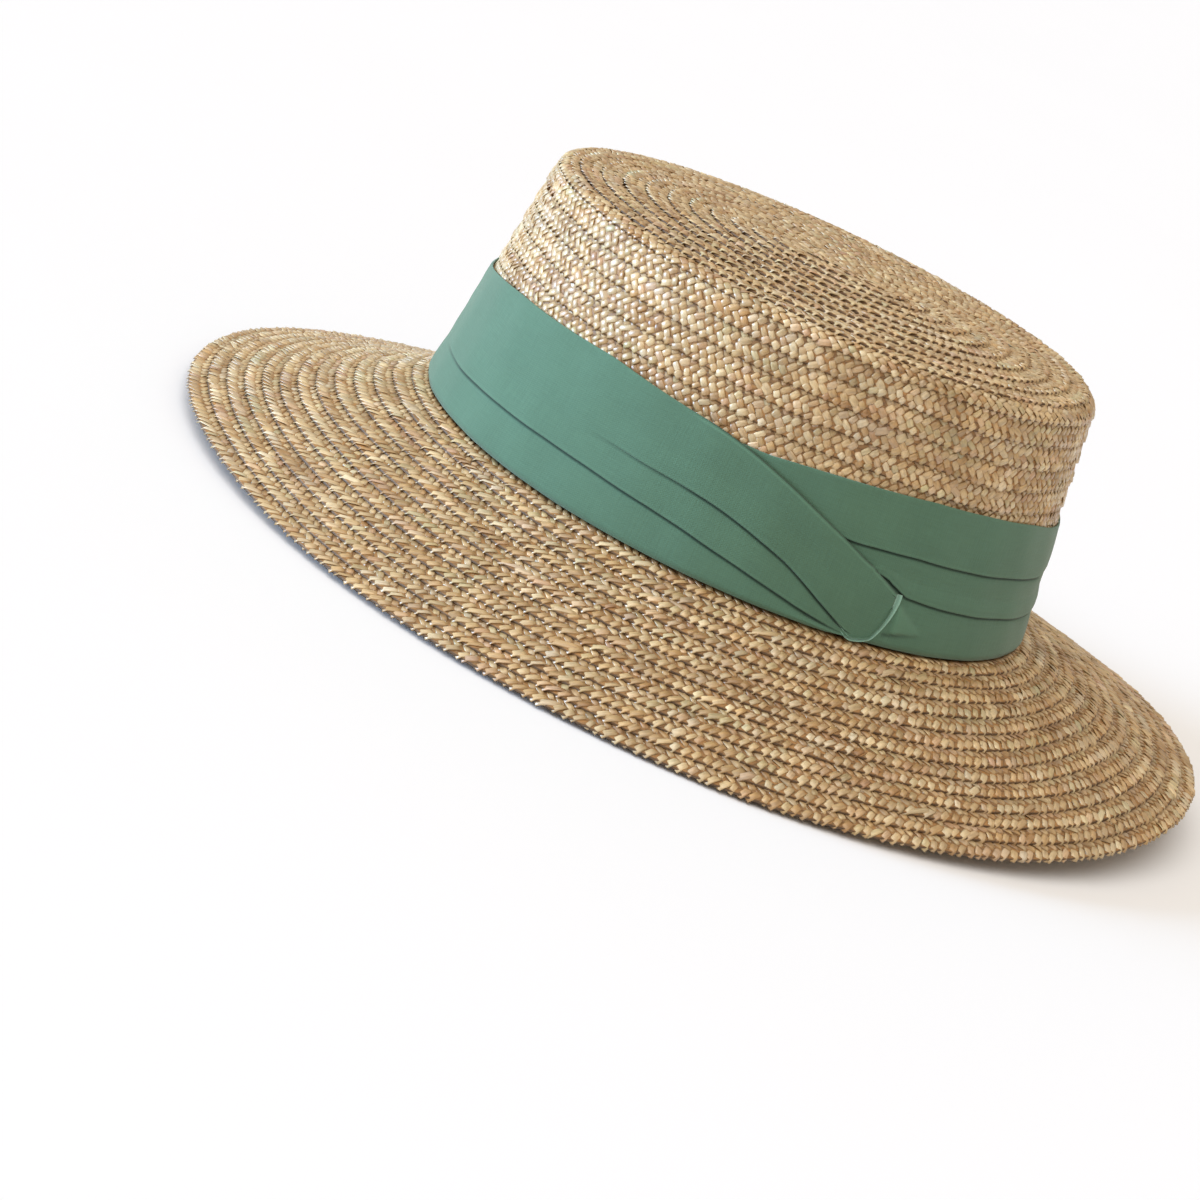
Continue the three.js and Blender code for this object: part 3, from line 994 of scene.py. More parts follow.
@dataclass
class StrawWork:
    """Lays plait on a surface: its core, and the straws that show on it.

    Attributes:
        surface: The surface that it lies on.
        plait: The plait.
        seed: Seed of the straws' small differences.
        level_start: Whether the plait starts level, as there is no row inside its first turn.
        inner_colour: Hex colour of the core's inner face, which shows where no straws lie on it.
    """

    surface: StrawSurface
    plait: Plait
    seed: int
    level_start: bool = False
    inner_colour: str = SHADED_CORE_COLOUR

    def sunk(self, across: Array, row_size: Array, edge: Array) -> Array:
        """Height of the core's upper face, which is level for the first turn of a level start."""
        level = self.plait.level(across, row_size)
        if not self.level_start:
            return level
        missing = 1.0 - np.clip(edge - 0.6, 0.0, 1.0)
        return level + missing * self.plait.fall * np.clip(across / row_size, 0.0, 1.0)

    def core_section(self, row_size: Array, edge: Array) -> tuple[Array, Array]:
        """The core's outline across the plait, as distances across and heights, on the last axis."""
        plait = self.plait
        tuck = row_size + plait.width
        upper_across = [0.12 * MM, 0.5 * MM, row_size * 0.5, row_size, tuck]
        lower_across = [tuck, row_size, row_size * 0.5, 0.6 * MM, 0.05 * MM, -0.1 * MM]
        across = np.stack(np.broadcast_arrays(*upper_across, *lower_across), axis=-1)
        edge_foot = plait.fall + 0.04 * MM
        upper_depth = [0.1 * MM, 0.0, 0.0, 0.0, 0.1 * MM]
        lower_depth = [plait.thickness] * 3 + [edge_foot, edge_foot, edge_foot / 2]
        depth = np.array(upper_depth + lower_depth)
        height = self.sunk(across, row_size[..., None], edge[..., None]) - depth
        return across, height

    def core(
        self, name: str, turn: Array, edge: Array, closes: bool, finish: bpy.types.Material
    ) -> bpy.types.Object:
        """The plait's core, a flat ribbon that lies under the straws, cut off at the surface's last row.

        Args:
            name: Name of the piece.
            turn: Angles, shaped ribbons, stations.
            edge: Row counts of the free edge, shaped alike.
            closes: Whether each ribbon is a closed ring.
            finish: Its material.

        Returns:
            The piece.
        """
        row_size = self.surface.row_size(turn)
        across, height = self.core_section(row_size, edge)
        rows = np.minimum(edge[..., None] - across / row_size[..., None], self.surface.rows)
        points = self.surface.place(turn[..., None], rows, height)
        step = np.linalg.norm(np.diff(points[:, :, 0], axis=1), axis=-1)
        along = np.concatenate([np.zeros((len(turn), 1)), np.cumsum(step, axis=1)], axis=1)
        uv = np.stack(np.broadcast_arrays(across / MM, along[..., None] / MM), axis=-1)
        # Painted shade: darker at the free edge, on its face and underside, and where the core goes under the
        # next row.
        shade = np.array([0.6, 1.0, 1.0, 0.7, 0.7, 1.0, 1.0, 1.0, 0.6, 0.5, 0.5])
        tones = np.tile(linear_colour(SHADED_CORE_COLOUR), (len(shade), 1))
        tones[5:8] = linear_colour(self.inner_colour)
        tint = np.broadcast_to(shade[:, None] * tones, points.shape)
        return solid(name, Skin(points, uv, tint), closes, finish)

    def straws(
        self,
        name: str,
        run: BraidRun,
        side: Side,
        paths: tuple[StrawPath, ...],
        finish: bpy.types.Material,
    ) -> list[bpy.types.Object]:
        """Straws laid over the plait, one for each place and path.

        Each straw's centre goes across the plait at its slant. Its cross-section is a low crowned
        ring. Both are worked out in lengths along, across and over the plait, and then laid on the
        surface by turning lengths along into angles and lengths across into rows.

        Args:
            name: Name of the pieces, which get the number of their path.
            run: Places of the straws.
            side: Which face of the plait they show on.
            paths: The straws' ways across the plait.
            finish: Their material.

        Returns:
            One piece for each path.
        """
        random = np.random.default_rng(self.seed + side.value)
        return [
            self.one_way(f"{name}_{number}", run, side, path, random, finish)
            for number, path in enumerate(paths, 1)
        ]

    def one_way(
        self,
        name: str,
        run: BraidRun,
        side: Side,
        path: StrawPath,
        random: np.random.Generator,
        finish: bpy.types.Material,
    ) -> bpy.types.Object:
        """The straws that follow one path.

        Args:
            name: Name of the piece.
            run: Places of the straws.
            side: Which face of the plait they show on.
            path: Their way across the plait.
            random: Source of the small differences.
            finish: Their material.

        Returns:
            The piece.
        """
        plait, surface = self.plait, self.surface
        uneven = plait.uneven
        count = len(run.turn)
        row_size = surface.row_size(run.turn)
        shares, rises, breadths, shades = np.array(path.stations).T
        way = shares[None, :]
        slant = plait.slant + random.normal(0.0, uneven.slant, (count, 1))
        travel = path.forward * abs(path.end - path.start) / np.tan(slant)
        across = path.start + (path.end - path.start) * way + random.normal(0, uneven.across, (count, 1))
        along = travel * (way - 0.5) + path.shift * plait.cell + random.normal(0, uneven.along, (count, 1))
        lean = np.arctan2(path.end - path.start, travel)
        breadth = plait.straw_width / 2 * random.normal(0.98, uneven.breadth, (count, 1)) * breadths
        rise = plait.bulge * rises + random.normal(0, uneven.rise, (count, 1))
        roll = random.normal(0.0, uneven.roll, (count, 1, 1))
        side_step = breadth[..., None] * RING[:, 0]
        along3 = along[..., None] - side_step * np.sin(lean)[..., None]
        across3 = across[..., None] + side_step * np.cos(lean)[..., None]
        dome = plait.bulge * RING[:, 1] * breadths[None, :, None]
        over = rise[..., None] - plait.bulge * 0.85 + dome + roll * side_step
        level = self.sunk(np.clip(across3, 0.0, None), row_size[:, None, None], run.edge[:, None, None])
        height = level + over
        if side is Side.UNDER:
            height = level - plait.thickness - over
        speed = surface.speed(run.turn, run.edge - 0.5)[:, None, None]
        turn = run.turn[:, None, None] + along3 / speed
        rows = run.edge[:, None, None] + run.slope * along3 / speed - across3 / row_size[:, None, None]
        points = surface.place(turn, rows, height)
        drift = 0.07 * np.sin(run.turn * 7 + run.edge * 2.3) + 0.06 * np.sin(run.turn * 19 + run.edge * 5.1)
        colour = straw_tints(count, drift, random)
        # The stations' brightness is painted light and shade; deeper painted shade is made warmer, a painted
        # warm reflection.
        warm_painted_shade = shades[:, None] ** np.array([0.8, 1.0, 1.35])
        tint = colour[:, None, None, :] * warm_painted_shade[None, :, None, :] * np.ones((1, 1, len(RING), 1))
        start = random.uniform(0, 900, (count, 1, 1))
        uv = np.stack(np.broadcast_arrays(RING[:, 0] + start, start + way[..., None] * 4.0), axis=-1)
        return solid(name, Skin(points, uv, tint), False, finish)


def outer_paths(plait: Plait, columns: tuple[float, ...]) -> tuple[StrawPath, ...]:
    """The columns of straws on the outer face.

    The first one wraps the free edge. The last one goes on under the next row, with painted shade there.

    Args:
        plait: The plait.
        columns: Width of each column, from the free edge inwards.

    Returns:
        One path for each column.
    """
    marks = np.cumsum(columns)
    first = StrawPath(marks[0] + plait.dive, -0.12 * MM, -1, 0.0, EDGE_STATIONS)
    others = [
        StrawPath(
            near - plait.dive,
            far + plait.dive,
            -1 if number % 2 else 1,
            0.5 * (number % 2),
            TUCKED_STATIONS if far == marks[-1] else OVER_STATIONS,
        )
        for number, (near, far) in enumerate(zip(marks[:-1], marks[1:]), 1)
    ]
    return (first, *others)


def under_paths(plait: Plait, row_size: float) -> tuple[StrawPath, ...]:
    """Two broad columns on the under face, between the free edge of the row inside and its own.

    Args:
        plait: The plait.
        row_size: Width of a row.

    Returns:
        The two paths.
    """
    first = plait.width + 0.1 * MM - plait.dive
    half = row_size / 2
    reach = half + 2 * plait.dive
    return (
        StrawPath(first, first + reach, -1, 0.0, UNDER_STATIONS),
        StrawPath(first + half, first + half + reach, 1, 0.5, UNDER_STATIONS),
    )


@dataclass
class CrownStraw:
    """The straw crown: one spiral of plait from the middle of the tip to the foot.

    Attributes:
        form: The hat's form.
        plait: The plait.
        covered: Height over the foot below which the band hides the straws.
        columns: Widths of the columns of straws, of which the last goes on under the next row.
    """

    form: HatForm
    plait: Plait
    covered: float
    columns: tuple[float, ...] = (1.7 * MM, 2.0 * MM, 2.1 * MM, 2.3 * MM)

    def build(self, straw: bpy.types.Material, core: bpy.types.Material) -> list[bpy.types.Object]:
        """Make the crown's pieces.

        Args:
            straw: Finish of the straws.
            core: Finish of the plait's core.

        Returns:
            The core and its straws, column by column.
        """
        surface = CrownSurface(self.form)
        work = StrawWork(surface, self.plait, seed=11, level_start=True, inner_colour="d3b585")
        first_edge = 0.18
        last_turn = (surface.rows + 1 - first_edge) * FULL_TURN
        turn = np.arange(0.0, last_turn, math.radians(3.0))[None, :]
        pieces = [work.core("crown_plait", turn, first_edge + turn / FULL_TURN, False, core)]
        run = spiral_run(surface, self.plait.cell, first_edge)
        high = (surface.rows - run.edge + 1.3) * surface.pitch * math.cos(self.form.lean)
        run = run.take(high > self.covered)
        pieces += work.straws("crown_straws", run, Side.OUTER, outer_paths(self.plait, self.columns), straw)
        for piece in pieces:
            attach(piece, "root")
            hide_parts("crown")
        return pieces


@dataclass
class BrimStraw:
    """The straw brim: rings of plait, each with its free edge over the ring outside it.

    Attributes:
        form: The hat's form.
        plait: The plait.
        columns: Widths of the columns of straws, of which the last goes on under the next row.
    """

    form: HatForm
    plait: Plait
    columns: tuple[float, ...] = (3.6 * MM, 2.8 * MM)

    def build(self, straw: bpy.types.Material, core: bpy.types.Material) -> list[bpy.types.Object]:
        """Make the brim's pieces.

        Args:
            straw: Finish of the straws.
            core: Finish of the plait's core.

        Returns:
            The core, the straws above and the straws below.
        """
        surface = BrimSurface(self.form)
        work = StrawWork(surface, self.plait, seed=29)
        around = np.linspace(0.0, FULL_TURN, 200, endpoint=False)
        turn = np.broadcast_to(around, (surface.rows, around.size))
        edge = np.broadcast_to(np.arange(surface.rows)[:, None] + 1.0, turn.shape)
        pieces = [work.core("brim_plait", turn, edge, True, core)]
        size = float(surface.row_size(np.zeros(1))[0])
        run = ring_runs(surface, self.plait.cell, 0, surface.rows)
        over = outer_paths(self.plait, self.columns)
        pieces += work.straws("brim_straws", run, Side.OUTER, over, straw)
        pieces += work.straws("brim_under_straws", run, Side.UNDER, under_paths(self.plait, size), straw)
        for piece in pieces:
            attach(piece, "root")
            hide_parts("brim")
        return pieces


# The band's strip, unrolled: it starts under its own lap, goes once round and ends in the lap. Heights
# are shares of the band height, and the strengths are shares of a fold's full step.
STRIP_FOOT = ((-14, -0.012), (388, -0.012), (393, 0.003), (394.6, 0.014), (396, 0.036), (396.9, 0.104),
              (397.7, 0.185), (398.2, 0.277))
STRIP_TOP = ((-14, 0.86), (-3, 0.89), (2.5, 0.933), (6.6, 0.93), (12.5, 0.96), (21, 0.99), (30, 1.012),
             (40, 1.03), (53, 1.022), (69, 0.992), (78, 0.95), (90, 0.91), (110, 0.905), (135, 0.945),
             (180, 1.0), (225, 0.97), (262, 0.86), (276, 0.865), (285, 0.895), (296, 0.945),
             (307, 0.985), (324, 1.01), (335.4, 1.03), (343.5, 1.007), (350.8, 0.986), (357.7, 0.969),
             (361.5, 0.943), (365.5, 0.908), (369.2, 0.865), (374.4, 0.797), (379.8, 0.709),
             (385.3, 0.623), (390, 0.536), (393, 0.483), (394.6, 0.452), (396, 0.422), (396.9, 0.404),
             (397.7, 0.386), (398.2, 0.372))
LOWER_FOLD = ((-14, 0.3), (28, 0.36), (33.4, 0.486), (37, 0.424), (40.4, 0.363), (44.8, 0.348), (51, 0.332),
              (59, 0.315), (68, 0.306), (78, 0.285), (130, 0.29), (180, 0.295), (230, 0.29), (299, 0.285),
              (316, 0.31), (330, 0.322), (340, 0.317), (352, 0.289), (360, 0.258), (364.7, 0.225),
              (369.4, 0.194), (374.7, 0.15), (377.3, 0.128), (382, 0.085), (385.3, 0.06), (391, 0.01),
              (398.2, 0.01))
LOWER_STRENGTH = ((-14, 0.0), (31, 0.0), (34, 0.7), (38, 1.0), (90, 1.0), (110, 0.6), (200, 0.5),
                  (255, 0.0), (287, 0.0), (304, 0.7), (318, 1.0), (384, 1.0), (389, 0.25), (391, 0.0))
MIDDLE_FOLD = ((-14, 0.45), (28, 0.47), (33.4, 0.56), (40, 0.5), (68, 0.45), (180, 0.45), (330, 0.53),
               (345, 0.53), (356, 0.52), (361.3, 0.502), (365.2, 0.476), (369.6, 0.434), (373.7, 0.384),
               (377.2, 0.336), (381.2, 0.258), (384.5, 0.185), (388.6, 0.097), (391.5, 0.03), (394, 0.02),
               (398.2, 0.02))
MIDDLE_STRENGTH = ((-14, 0.0), (338, 0.0), (357, 0.55), (364, 1.0), (390, 1.0), (392.5, 0.0))
UPPER_FOLD = ((-14, 0.62), (25.2, 0.623), (27.7, 0.618), (32.4, 0.633), (39.8, 0.64), (48.4, 0.628),
              (58.6, 0.616), (67, 0.607), (79, 0.58), (130, 0.6), (180, 0.61), (230, 0.66), (330, 0.74),
              (361.3, 0.7), (369.6, 0.66), (377.2, 0.54), (384.5, 0.42), (391.5, 0.3), (394.6, 0.27),
              (396.9, 0.26), (398.2, 0.33))
UPPER_STRENGTH = ((-14, 0.0), (18, 0.0), (25, 1.0), (90, 1.0), (110, 0.6), (160, 0.6), (225, 0.0),
                  (398.2, 0.0))

# Columns of points along the strip: first angle, end and step, closer beside the lap's end and on it.
STRIP_COLUMNS = ((-14.0, 36.0, 1.0), (36.0, 48.0, 0.4), (48.0, 392.0, 1.0), (392.0, 398.21, 0.31))

# Angle of the lap's end, in degrees.
LAP_END = 38.2

# Cross-section of the lap's rim, a flat bead with a groove: out from its edge, over its face, brightness.
# The brightness is a painted highlight on the bead's crests and painted shade in its groove and at its edges.
RIM_PROFILE = (
    (0.0, 0.0, 0.5),
    (0.15, 0.55, 0.8),
    (0.4, 0.8, 1.25),
    (0.7, 0.5, 0.85),
    (1.1, 0.5, 0.85),
    (1.45, 0.9, 1.3),
    (1.7, 0.7, 1.2),
    (1.85, 0.0, 0.7),
    (0.9, -0.3, 0.7),
)


def read_strip(table: tuple[tuple[float, float], ...], degrees: Array, softness: int = 0) -> Array:
    """A table's value at each angle, on straight lines between its rows, with corners softened.

    Args:
        table: Rows of an angle in degrees and a value.
        degrees: Angles to read at.
        softness: Number of neighbours that each value is averaged with on each side.

    Returns:
        The values.
    """
    places, values = np.array(table, float).T
    return smoothed(np.interp(degrees, places, values), softness)


@dataclass(frozen=True)
class PulledFold:
    """The flat fold that the lap's end pulls up beside itself, with a painted shadow for the crease under it.

    Heights and the crease's width are in millimetres, and heights are counted from the band's foot.
    Slopes are millimetres gained for each degree away from the lap's end.

    Attributes:
        start: Angle from the lap's end at which the fold begins, in degrees.
        rise: Angle over which it comes up to its full height, in degrees.
        reach: Angle at which it runs out, in degrees.
        foot: Height of its nearly level lower edge, beside the lap's end.
        foot_slope: Slope of that edge.
        foot_softness: Height over which the fold comes up from that edge.
        top: Height of its slanting upper line, beside the lap's end.
        top_slope: Slope of that line.
        top_softness: Height over which the fold fades to that line.
        crease: Height of the crease's middle, beside the lap's end.
        crease_width: Half width of the crease.
        crease_reach: Angle at which the crease runs out, in degrees.
    """

    start: float = 0.9
    rise: float = 1.1
    reach: float = 10.5
    foot: float = 3.4
    foot_slope: float = 0.2
    foot_softness: float = 0.8
    top: float = 15.5
    top_slope: float = -1.15
    top_softness: float = 2.2
    crease: float = 3.2
    crease_width: float = 0.55
    crease_reach: float = 9.0

    def share(self, away: Array, height: Array) -> Array:
        """Share of the fold's full height: 1 beside the rim, 0 where it runs out.

        Args:
            away: Angles from the lap's end, in degrees.
            height: Heights over the band's foot, in metres.

        Returns:
            The share at each point.
        """
        beside = smooth_step((away - self.start) / self.rise) * np.clip(1.0 - away / self.reach, 0.0, 1.0)
        above = smooth_step((height - (self.foot + self.foot_slope * away) * MM) / (self.foot_softness * MM))
        below = smooth_step(((self.top + self.top_slope * away) * MM - height) / (self.top_softness * MM))
        return beside * above * below

    def crease_share(self, away: Array, height: Array) -> Array:
        """Depth of the crease's shadow, from 0 to 1.

        Args:
            away: Angles from the lap's end, in degrees.
            height: Heights over the band's foot, in metres.

        Returns:
            The depth at each point.
        """
        across = (height / MM - self.crease - self.foot_slope * away) / self.crease_width
        along = 1 - smooth_step(away / self.crease_reach)
        return np.exp(-across**2) * along * (away > 0) * (away < self.crease_reach)


@dataclass
class ClothBand:
    """The folded cloth band with its lap, as one strip.

    Attributes:
        form: The hat's form.
        height: Height of the band.
        seat: Height of its foot over the crown's foot.
        clear: Clearance to the straw.
        thickness: Thickness of the folded cloth.
        step: How far a fold stands over the layer that it covers.
        lap_lift: How far the lap's inner face stands further out than the rest of the strip's.
        ply_steps: Number of stations up each layer.
        margin: How far a layer's face ends short of the fold on each side.
        wide: Width of a layer from which its folds have their full reach.
        pulled: The fold beside the lap's end.
    """

    form: HatForm
    height: float = 42.2 * MM
    seat: float = 0.5 * MM
    clear: float = 0.05 * MM
    thickness: float = 0.65 * MM
    step: float = 0.55 * MM
    lap_lift: float = 1.2 * MM
    ply_steps: tuple[int, ...] = (22, 8, 8, 10)
    margin: float = 1.1 * MM
    wide: float = 2.4 * MM
    pulled: PulledFold = PulledFold()

    def place(self, degrees: Array, height: Array, outside: Array) -> Array:
        """Points of the strip: on the crown's leaning side, moved out by their distance outside it."""
        inset = (height + self.seat) * math.tan(self.form.lean)
        return oval(
            np.radians(degrees),
            self.form.half_width - inset,
            self.form.half_length - inset,
            outside,
            self.form.foot + self.seat + height,
        )

    def lift(self, degrees: Array) -> Array:
        """How far the strip's inner face stands off, which grows where it covers its own beginning."""
        return self.clear + self.lap_lift * smooth_step((degrees - 296.0) / 50.0)

    def share_of_reach(self, room: Array) -> Array:
        """Share of its full reach that a fold has in a layer, which is less in a narrow one."""
        return np.clip(room / self.wide, 0.02, 1.0)

    def fold(self, at: Array, strength: Array, room: Array) -> tuple[Array, Array, Array]:
        """The lip of a fold in cross-section: in behind the lip, round its edge and up its face.

        The cloth behind the lip has painted shade for its crevice, and the lip's face a faint painted
        highlight.

        Args:
            at: Height of the fold at each column.
            strength: Its strength at each column.
            room: Height of the narrower layer beside it, which limits its reach.

        Returns:
            Heights, distances outside the layer below and shades, shaped columns, stations.
        """
        up = np.array([-1.2, -0.75, -0.1, 0.12, -0.2, -0.14, 0.25, 1.0]) * MM
        out = np.array([0.0, -0.2, -0.7, -0.2, 0.5, 0.9, 1.03, 1.05])
        painted_shading = np.array([0.0, 0.55, 0.92, 0.95, 0.85, 0.22, -0.12, 0.0])
        present = np.clip(strength * 3, 0.0, 1.0)[:, None]
        spread = np.linspace(up[0], up[-1], len(up)) * (1 - present) + up * present
        reach = self.share_of_reach(room)[:, None]
        shade = 1.0 - painted_shading * np.clip(strength * 1.4, 0.0, 1.0)[:, None]
        return at[:, None] + spread * reach, self.step * out * strength[:, None], shade

    def section(self, degrees: Array) -> tuple[Array, Array, Array]:
        """The strip's closed outline at each column: inner face, foot, layers and folds, top edge.

        A layer's outer face runs from the level that its fold lip stands at down to the level that
        goes under the next fold, with a slight swell between.

        Args:
            degrees: Angle of each column.

        Returns:
            Heights, distances outside the crown and shades, shaped columns, ring.
        """
        foot = read_strip(STRIP_FOOT, degrees) * self.height
        top = read_strip(STRIP_TOP, degrees, 3) * self.height
        least = (top - foot) * 0.02
        lower = np.maximum(read_strip(LOWER_FOLD, degrees, 2) * self.height, foot + least)
        middle = np.maximum(read_strip(MIDDLE_FOLD, degrees, 2) * self.height, lower + least)
        upper = np.maximum(read_strip(UPPER_FOLD, degrees, 2) * self.height, middle + least)
        upper = np.minimum(upper, top - 2 * least)
        lines = [foot, lower, middle, upper, top]
        strengths = [
            np.ones_like(foot),
            read_strip(LOWER_STRENGTH, degrees, 2),
            read_strip(MIDDLE_STRENGTH, degrees, 2),
            read_strip(UPPER_STRENGTH, degrees, 2),
        ]
        rooms = [high - low for low, high in zip(lines[:-1], lines[1:])]
        inner = self.lift(degrees)[:, None]
        face = inner + self.thickness
        plain = np.ones((len(degrees), 1))
        edge = 0.32 * MM
        inner_shares = (0.0, 0.5, 1.0)
        heights = [((top - edge) * (1 - share) + (foot + edge) * share)[:, None] for share in inner_shares]
        outs = [inner] * len(inner_shares)
        shades = [plain] * len(inner_shares)
        heights.append(foot[:, None] + np.array([0.1, 0.0, 0.06]) * MM)
        outs.append(inner + self.thickness * np.array([0.2, 0.6, 1.0]))
        shades.append(plain * np.ones(3))
        for number, (low, high, room) in enumerate(zip(lines[:-1], lines[1:], rooms)):
            margin = np.minimum(self.margin * self.share_of_reach(room), room / 3)
            start, end = low + margin, high - margin
            share = np.linspace(0.0, 1.0, self.ply_steps[number])[1:-1]
            ply = start[:, None] + (end - start)[:, None] * share
            lip = self.step * 1.05 * strengths[number][:, None]
            swell = 0.14 * MM * np.clip(room / (12 * MM), 0, 1)[:, None] * np.sin(math.pi * share)
            heights.append(ply)
            outs.append(face + lip * (1 - smooth_step(share * 0.9)) + swell)
            shades.append(plain * np.ones(len(share)))
            if number + 1 < len(rooms):
                reach = np.minimum(room, rooms[number + 1])
                up, out, shade = self.fold(high, strengths[number + 1], reach)
                left = lip * (1 - smooth_step(np.full(1, 0.97)))
                heights.append(up)
                outs.append(face + out + left)
                shades.append(shade)
        # Painted light on the lap: a painted highlight just inside its top edge, painted shade on the edge
        # and on its inner face.
        lapped = smooth_step((degrees[:, None] - 350.0) / 8.0)
        heights.append(top[:, None] - np.array([1.4, 0.9, 0.45, 0.1, 0.1]) * MM)
        outs.append(inner + self.thickness * np.array([1.05, 1.05, 0.95, 0.7, 0.25]))
        shades.append(1.0 + lapped * np.array([0.0, 0.26, -0.05, -0.62, -0.75]))
        shades[0] = 1.0 - 0.75 * lapped
        return tuple(np.concatenate(parts, axis=1) for parts in (heights, outs, shades))

    def creases(self, degrees: Array, height: Array) -> Array:
        """Soft unevenness of the cloth: slow waves, and the pull that spreads from the lap's end."""
        turn = np.radians(degrees)[:, None]
        high = height / self.height
        slow = np.sin(9 * turn + 4 * high) + np.sin(17 * turn - 7 * high + 1.3) + np.sin(31 * turn + 3 * high)
        upper = 0.35 * np.exp(-((degrees[:, None] - 42.0) / 4.0) ** 2 - ((high - 0.75) / 0.03) ** 2)
        pull = self.pulled.share(degrees[:, None] - LAP_END, height) + upper * (degrees < 60)[:, None]
        return (0.07 * slow + pull) * MM

    def build(self, cloth: bpy.types.Material, rim_cloth: bpy.types.Material) -> list[bpy.types.Object]:
        """Make the strip and the rim of its rounded end.

        Args:
            cloth: Finish of the band.
            rim_cloth: Finish of the rim.

        Returns:
            The two pieces.
        """
        degrees = np.concatenate([np.arange(*columns) for columns in STRIP_COLUMNS])
        height, outside, shade = self.section(degrees)
        faces = outside > self.lift(degrees)[:, None] + self.thickness * 0.9
        outside = outside + np.where(faces, self.creases(degrees, height), 0.0)
        points = self.place(degrees[:, None], height, outside)
        run = np.radians(degrees) * (self.form.half_width + self.form.half_length) / 2
        middle = (read_strip(STRIP_TOP, degrees, 3) + read_strip(STRIP_FOOT, degrees)) / 2 * self.height
        slide = np.where(degrees > 350, middle - 0.47 * self.height, 0.0)
        uv = np.stack(np.broadcast_arrays(run[:, None], height - slide[:, None]), axis=-1)
        away = degrees[:, None] - LAP_END
        # Painted light and shade only: the pulled fold is painted lighter and its crease is a painted shadow
        # line; the strip's tint carries these with the fold shades.
        painted_fold_light = 0.3 * self.pulled.share(away, height)
        shade = shade * (1.0 + painted_fold_light - 0.5 * self.pulled.crease_share(away, height))
        tint = np.repeat(shade[None, :, :, None], 3, axis=3)
        band = solid("band_cloth", Skin(points[None], uv[None], tint), False, cloth)
        rim = self.rim(rim_cloth)
        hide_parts("band", "band_lap")
        for piece in (band, rim):
            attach(piece, "root")
        return [band, rim]

    def rim(self, finish: bpy.types.Material) -> bpy.types.Object:
        """The turned edge that shows round the lap's rounded end.

        A flat bead with a shallow groove is carried along the lap's lower edge and end. It is narrow
        at its start and widens up the end.

        Args:
            finish: Its material.

        Returns:
            The piece.
        """
        edge = [row for row in MIDDLE_FOLD if 381 < row[0] < 391]
        end = [row for row in STRIP_FOOT if row[0] > 392]
        outline = np.array([*edge, (392.0, 0.012), *end, (398.3, 0.33), (398.2, 0.372)])
        stations = 90
        marks = np.arange(len(outline))
        span = np.linspace(0.0, len(outline) - 1.0, stations)
        degrees = smoothed(np.interp(span, marks, outline[:, 0]), 4)
        heights = smoothed(np.interp(span, marks, outline[:, 1]) * self.height, 4)
        arc = math.radians(1.0) * self.form.half_width
        way = unit(np.stack([np.gradient(degrees) * arc, np.gradient(heights)], axis=-1))
        out = np.stack([way[:, 1], -way[:, 0]], axis=-1)
        outwards, face, brightness = np.array(RIM_PROFILE).T
        rank = np.linspace(0.0, 1.0, stations)
        size = (smooth_step(rank * 3.0) * (0.75 + 0.5 * smooth_step((rank - 0.45) * 2.2)) + 0.05) * MM
        beside = size[:, None] * (outwards - 0.35)
        over = 0.62 * MM * smooth_step(rank * 4.0)[:, None] * face
        base = self.clear + self.lap_lift
        points = self.place(
            degrees[:, None] + beside * out[:, 0:1] / arc,
            heights[:, None] + beside * out[:, 1:2],
            base + over,
        )
        run = np.cumsum(np.hypot(np.gradient(degrees) * arc, np.gradient(heights)))
        uv = np.stack(np.broadcast_arrays(run[:, None], outwards * MM), axis=-1)
        # Painted light and shade across the bead.
        tint = np.ones(points.shape) * brightness[:, None]
        return solid("lap_rim", Skin(points[None], uv[None], tint[None]), False, finish)


@dataclass(frozen=True)
class View:
    """The camera, placed by angles round the hat.

    Attributes:
        azimuth: Angle of the camera round the hat, from -Y towards +X, in degrees.
        elevation: Angle above the surface, in degrees.
        roll: Turn of the picture, in degrees.
        distance: Distance from the target.
        lens: Focal length in millimetres on a 36 mm wide sensor.
        target: Point that the middle of the picture shows, from the crown's foot.
    """

    azimuth: float = 95.96
    elevation: float = 19.04
    roll: float = 24.6
    distance: float = 0.9253
    lens: float = 89.04
    target: tuple[float, float, float] = (7.65 * MM, -21.51 * MM, -45.79 * MM)

    def build(self, foot: float) -> None:
        """Make the camera and use it for the scene.

        Args:
            foot: Height of the crown's foot.
        """
        azimuth, elevation, roll = (math.radians(a) for a in (self.azimuth, self.elevation, self.roll))
        back = Vector(
            (
                math.sin(azimuth) * math.cos(elevation),
                -math.cos(azimuth) * math.cos(elevation),
                math.sin(elevation),
            )
        )
        right = Vector((math.cos(azimuth), math.sin(azimuth), 0.0))
        up = back.cross(right)
        across = right * math.cos(roll) + up * math.sin(roll)
        upright = up * math.cos(roll) - right * math.sin(roll)
        target = Vector(self.target) + Vector((0, 0, foot))
        pose = Matrix((across, upright, back)).transposed().to_4x4()
        pose.translation = target + back * self.distance
        data = bpy.data.cameras.new("view")
        data.lens = self.lens
        data.sensor_width = 36.0
        data.clip_start = 0.01
        data.clip_end = 50.0
        camera = bpy.data.objects.new("view", data)
        camera.matrix_world = pose
        bpy.context.scene.collection.objects.link(camera)
        bpy.context.scene.camera = camera


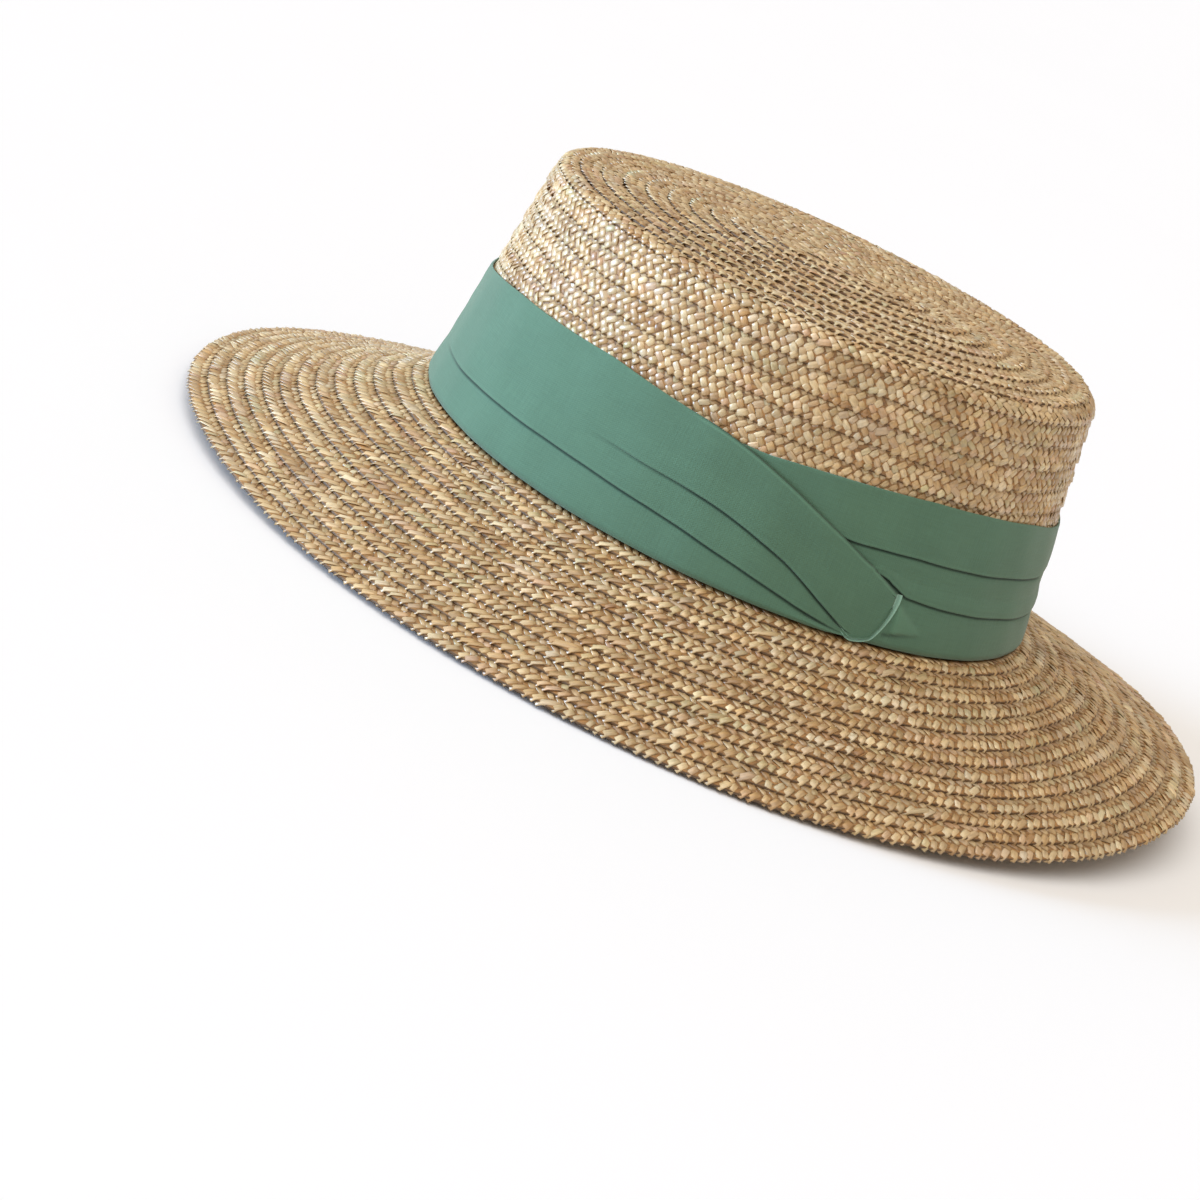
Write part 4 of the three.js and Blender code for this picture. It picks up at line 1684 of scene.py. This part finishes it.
@dataclass(frozen=True)
class Studio:
    """A pale floor, a low light from the hat's front, a broad one from above and light from all round.

    Attributes:
        floor_size: Half width of the floor.
        floor_colour: Hex colour of the floor.
        ambient: Strength of the light from all round.
        ambient_colour: Its linear colour.
    """

    floor_size: float = 12.0
    floor_colour: str = "f9fbff"
    ambient: float = 0.49
    ambient_colour: tuple[float, float, float] = (1.08, 0.94, 0.78)

    def build(self) -> None:
        """Make the floor, the lights and the surrounding light."""
        material, nodes, shader = blank_material("floor_paper")
        place = nodes.add("ShaderNodeTexCoord").outputs["Object"]
        noise = nodes.add("ShaderNodeTexNoise", {"Vector": place, "Scale": 3.0}).outputs["Fac"]
        shade = nodes.math("ADD", nodes.math("MULTIPLY", noise, 0.02), 0.99)
        colour = nodes.multiply((*linear_colour(self.floor_colour), 1.0), shade)
        nodes.tree.links.new(colour, shader.inputs["Base Color"])
        shader.inputs["Roughness"].default_value = 0.9
        half = self.floor_size
        mesh = bpy.data.meshes.new("floor")
        corners = [(-half, -half, 0), (half, -half, 0), (half, half, 0), (-half, half, 0)]
        mesh.from_pydata(corners, [], [(0, 1, 2, 3)])
        mesh.materials.append(material)
        floor = bpy.data.objects.new("floor", mesh)
        bpy.context.scene.collection.objects.link(floor)
        self.lamp("key", towards=(0.3, -1.3, 0.12), strength=4.4, softness=30.0, colour=(0.72, 1.04, 1.46))
        self.lamp("top", towards=(0.35, -0.15, 1.0), strength=1.45, softness=70.0, colour=(1.0, 0.97, 0.93))
        world = bpy.data.worlds.new("studio")
        world.use_nodes = True
        background = world.node_tree.nodes["Background"]
        background.inputs["Color"].default_value = (*self.ambient_colour, 1.0)
        background.inputs["Strength"].default_value = self.ambient
        bpy.context.scene.world = world
        bpy.context.scene.view_settings.view_transform = "Standard"

    def lamp(
        self,
        name: str,
        towards: tuple[float, float, float],
        strength: float,
        softness: float,
        colour: tuple[float, float, float],
    ) -> None:
        """A far soft light, which lights the floor evenly.

        Args:
            name: Name of the light.
            towards: Direction of the light from the hat.
            strength: Its strength in watts for each square metre.
            softness: Angle that it covers in the sky, in degrees.
            colour: Its linear colour.
        """
        data = bpy.data.lights.new(name, "SUN")
        data.energy = strength
        data.angle = math.radians(softness)
        data.color = colour
        light = bpy.data.objects.new(name, data)
        light.rotation_euler = (-Vector(towards)).to_track_quat("-Z", "Y").to_euler()
        bpy.context.scene.collection.objects.link(light)


def main() -> None:
    """Build the hat piece by piece, then its studio and camera."""
    logging.basicConfig(level=logging.INFO, format="%(name)s: %(message)s")
    form = HatForm.from_frame()
    plait = Plait()
    fibre = fibre_effect()
    strokes = strokes_effect()
    weave = weave_effect()
    straw = StrawFinish("wheat_straw").make(fibre, strokes)
    core = StrawFinish("plait_core", roughness=0.6, wax=0.0, plaited=True).make(fibre, strokes)
    cloth = ClothFinish("teal_cotton", "557762").make(weave)
    # The rim is the band's own cloth in a lighter colour, a painted highlight on its turned edge.
    rim_cloth = ClothFinish("teal_cotton_edge_painted_highlight", "86ae9e").make(weave)
    band = ClothBand(form)
    pieces = [
        *CrownStraw(form, plait, covered=0.9 * band.height).build(straw, core),
        *BrimStraw(form, plait).build(straw, core),
        *band.build(cloth, rim_cloth),
    ]
    for piece in pieces:
        triangles = sum(len(face.vertices) - 2 for face in piece.data.polygons)
        log.info("%s: %d triangles", piece.name, triangles)
    Studio().build()
    View().build(form.foot)


if __name__ == "__main__":
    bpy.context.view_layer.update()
    main()
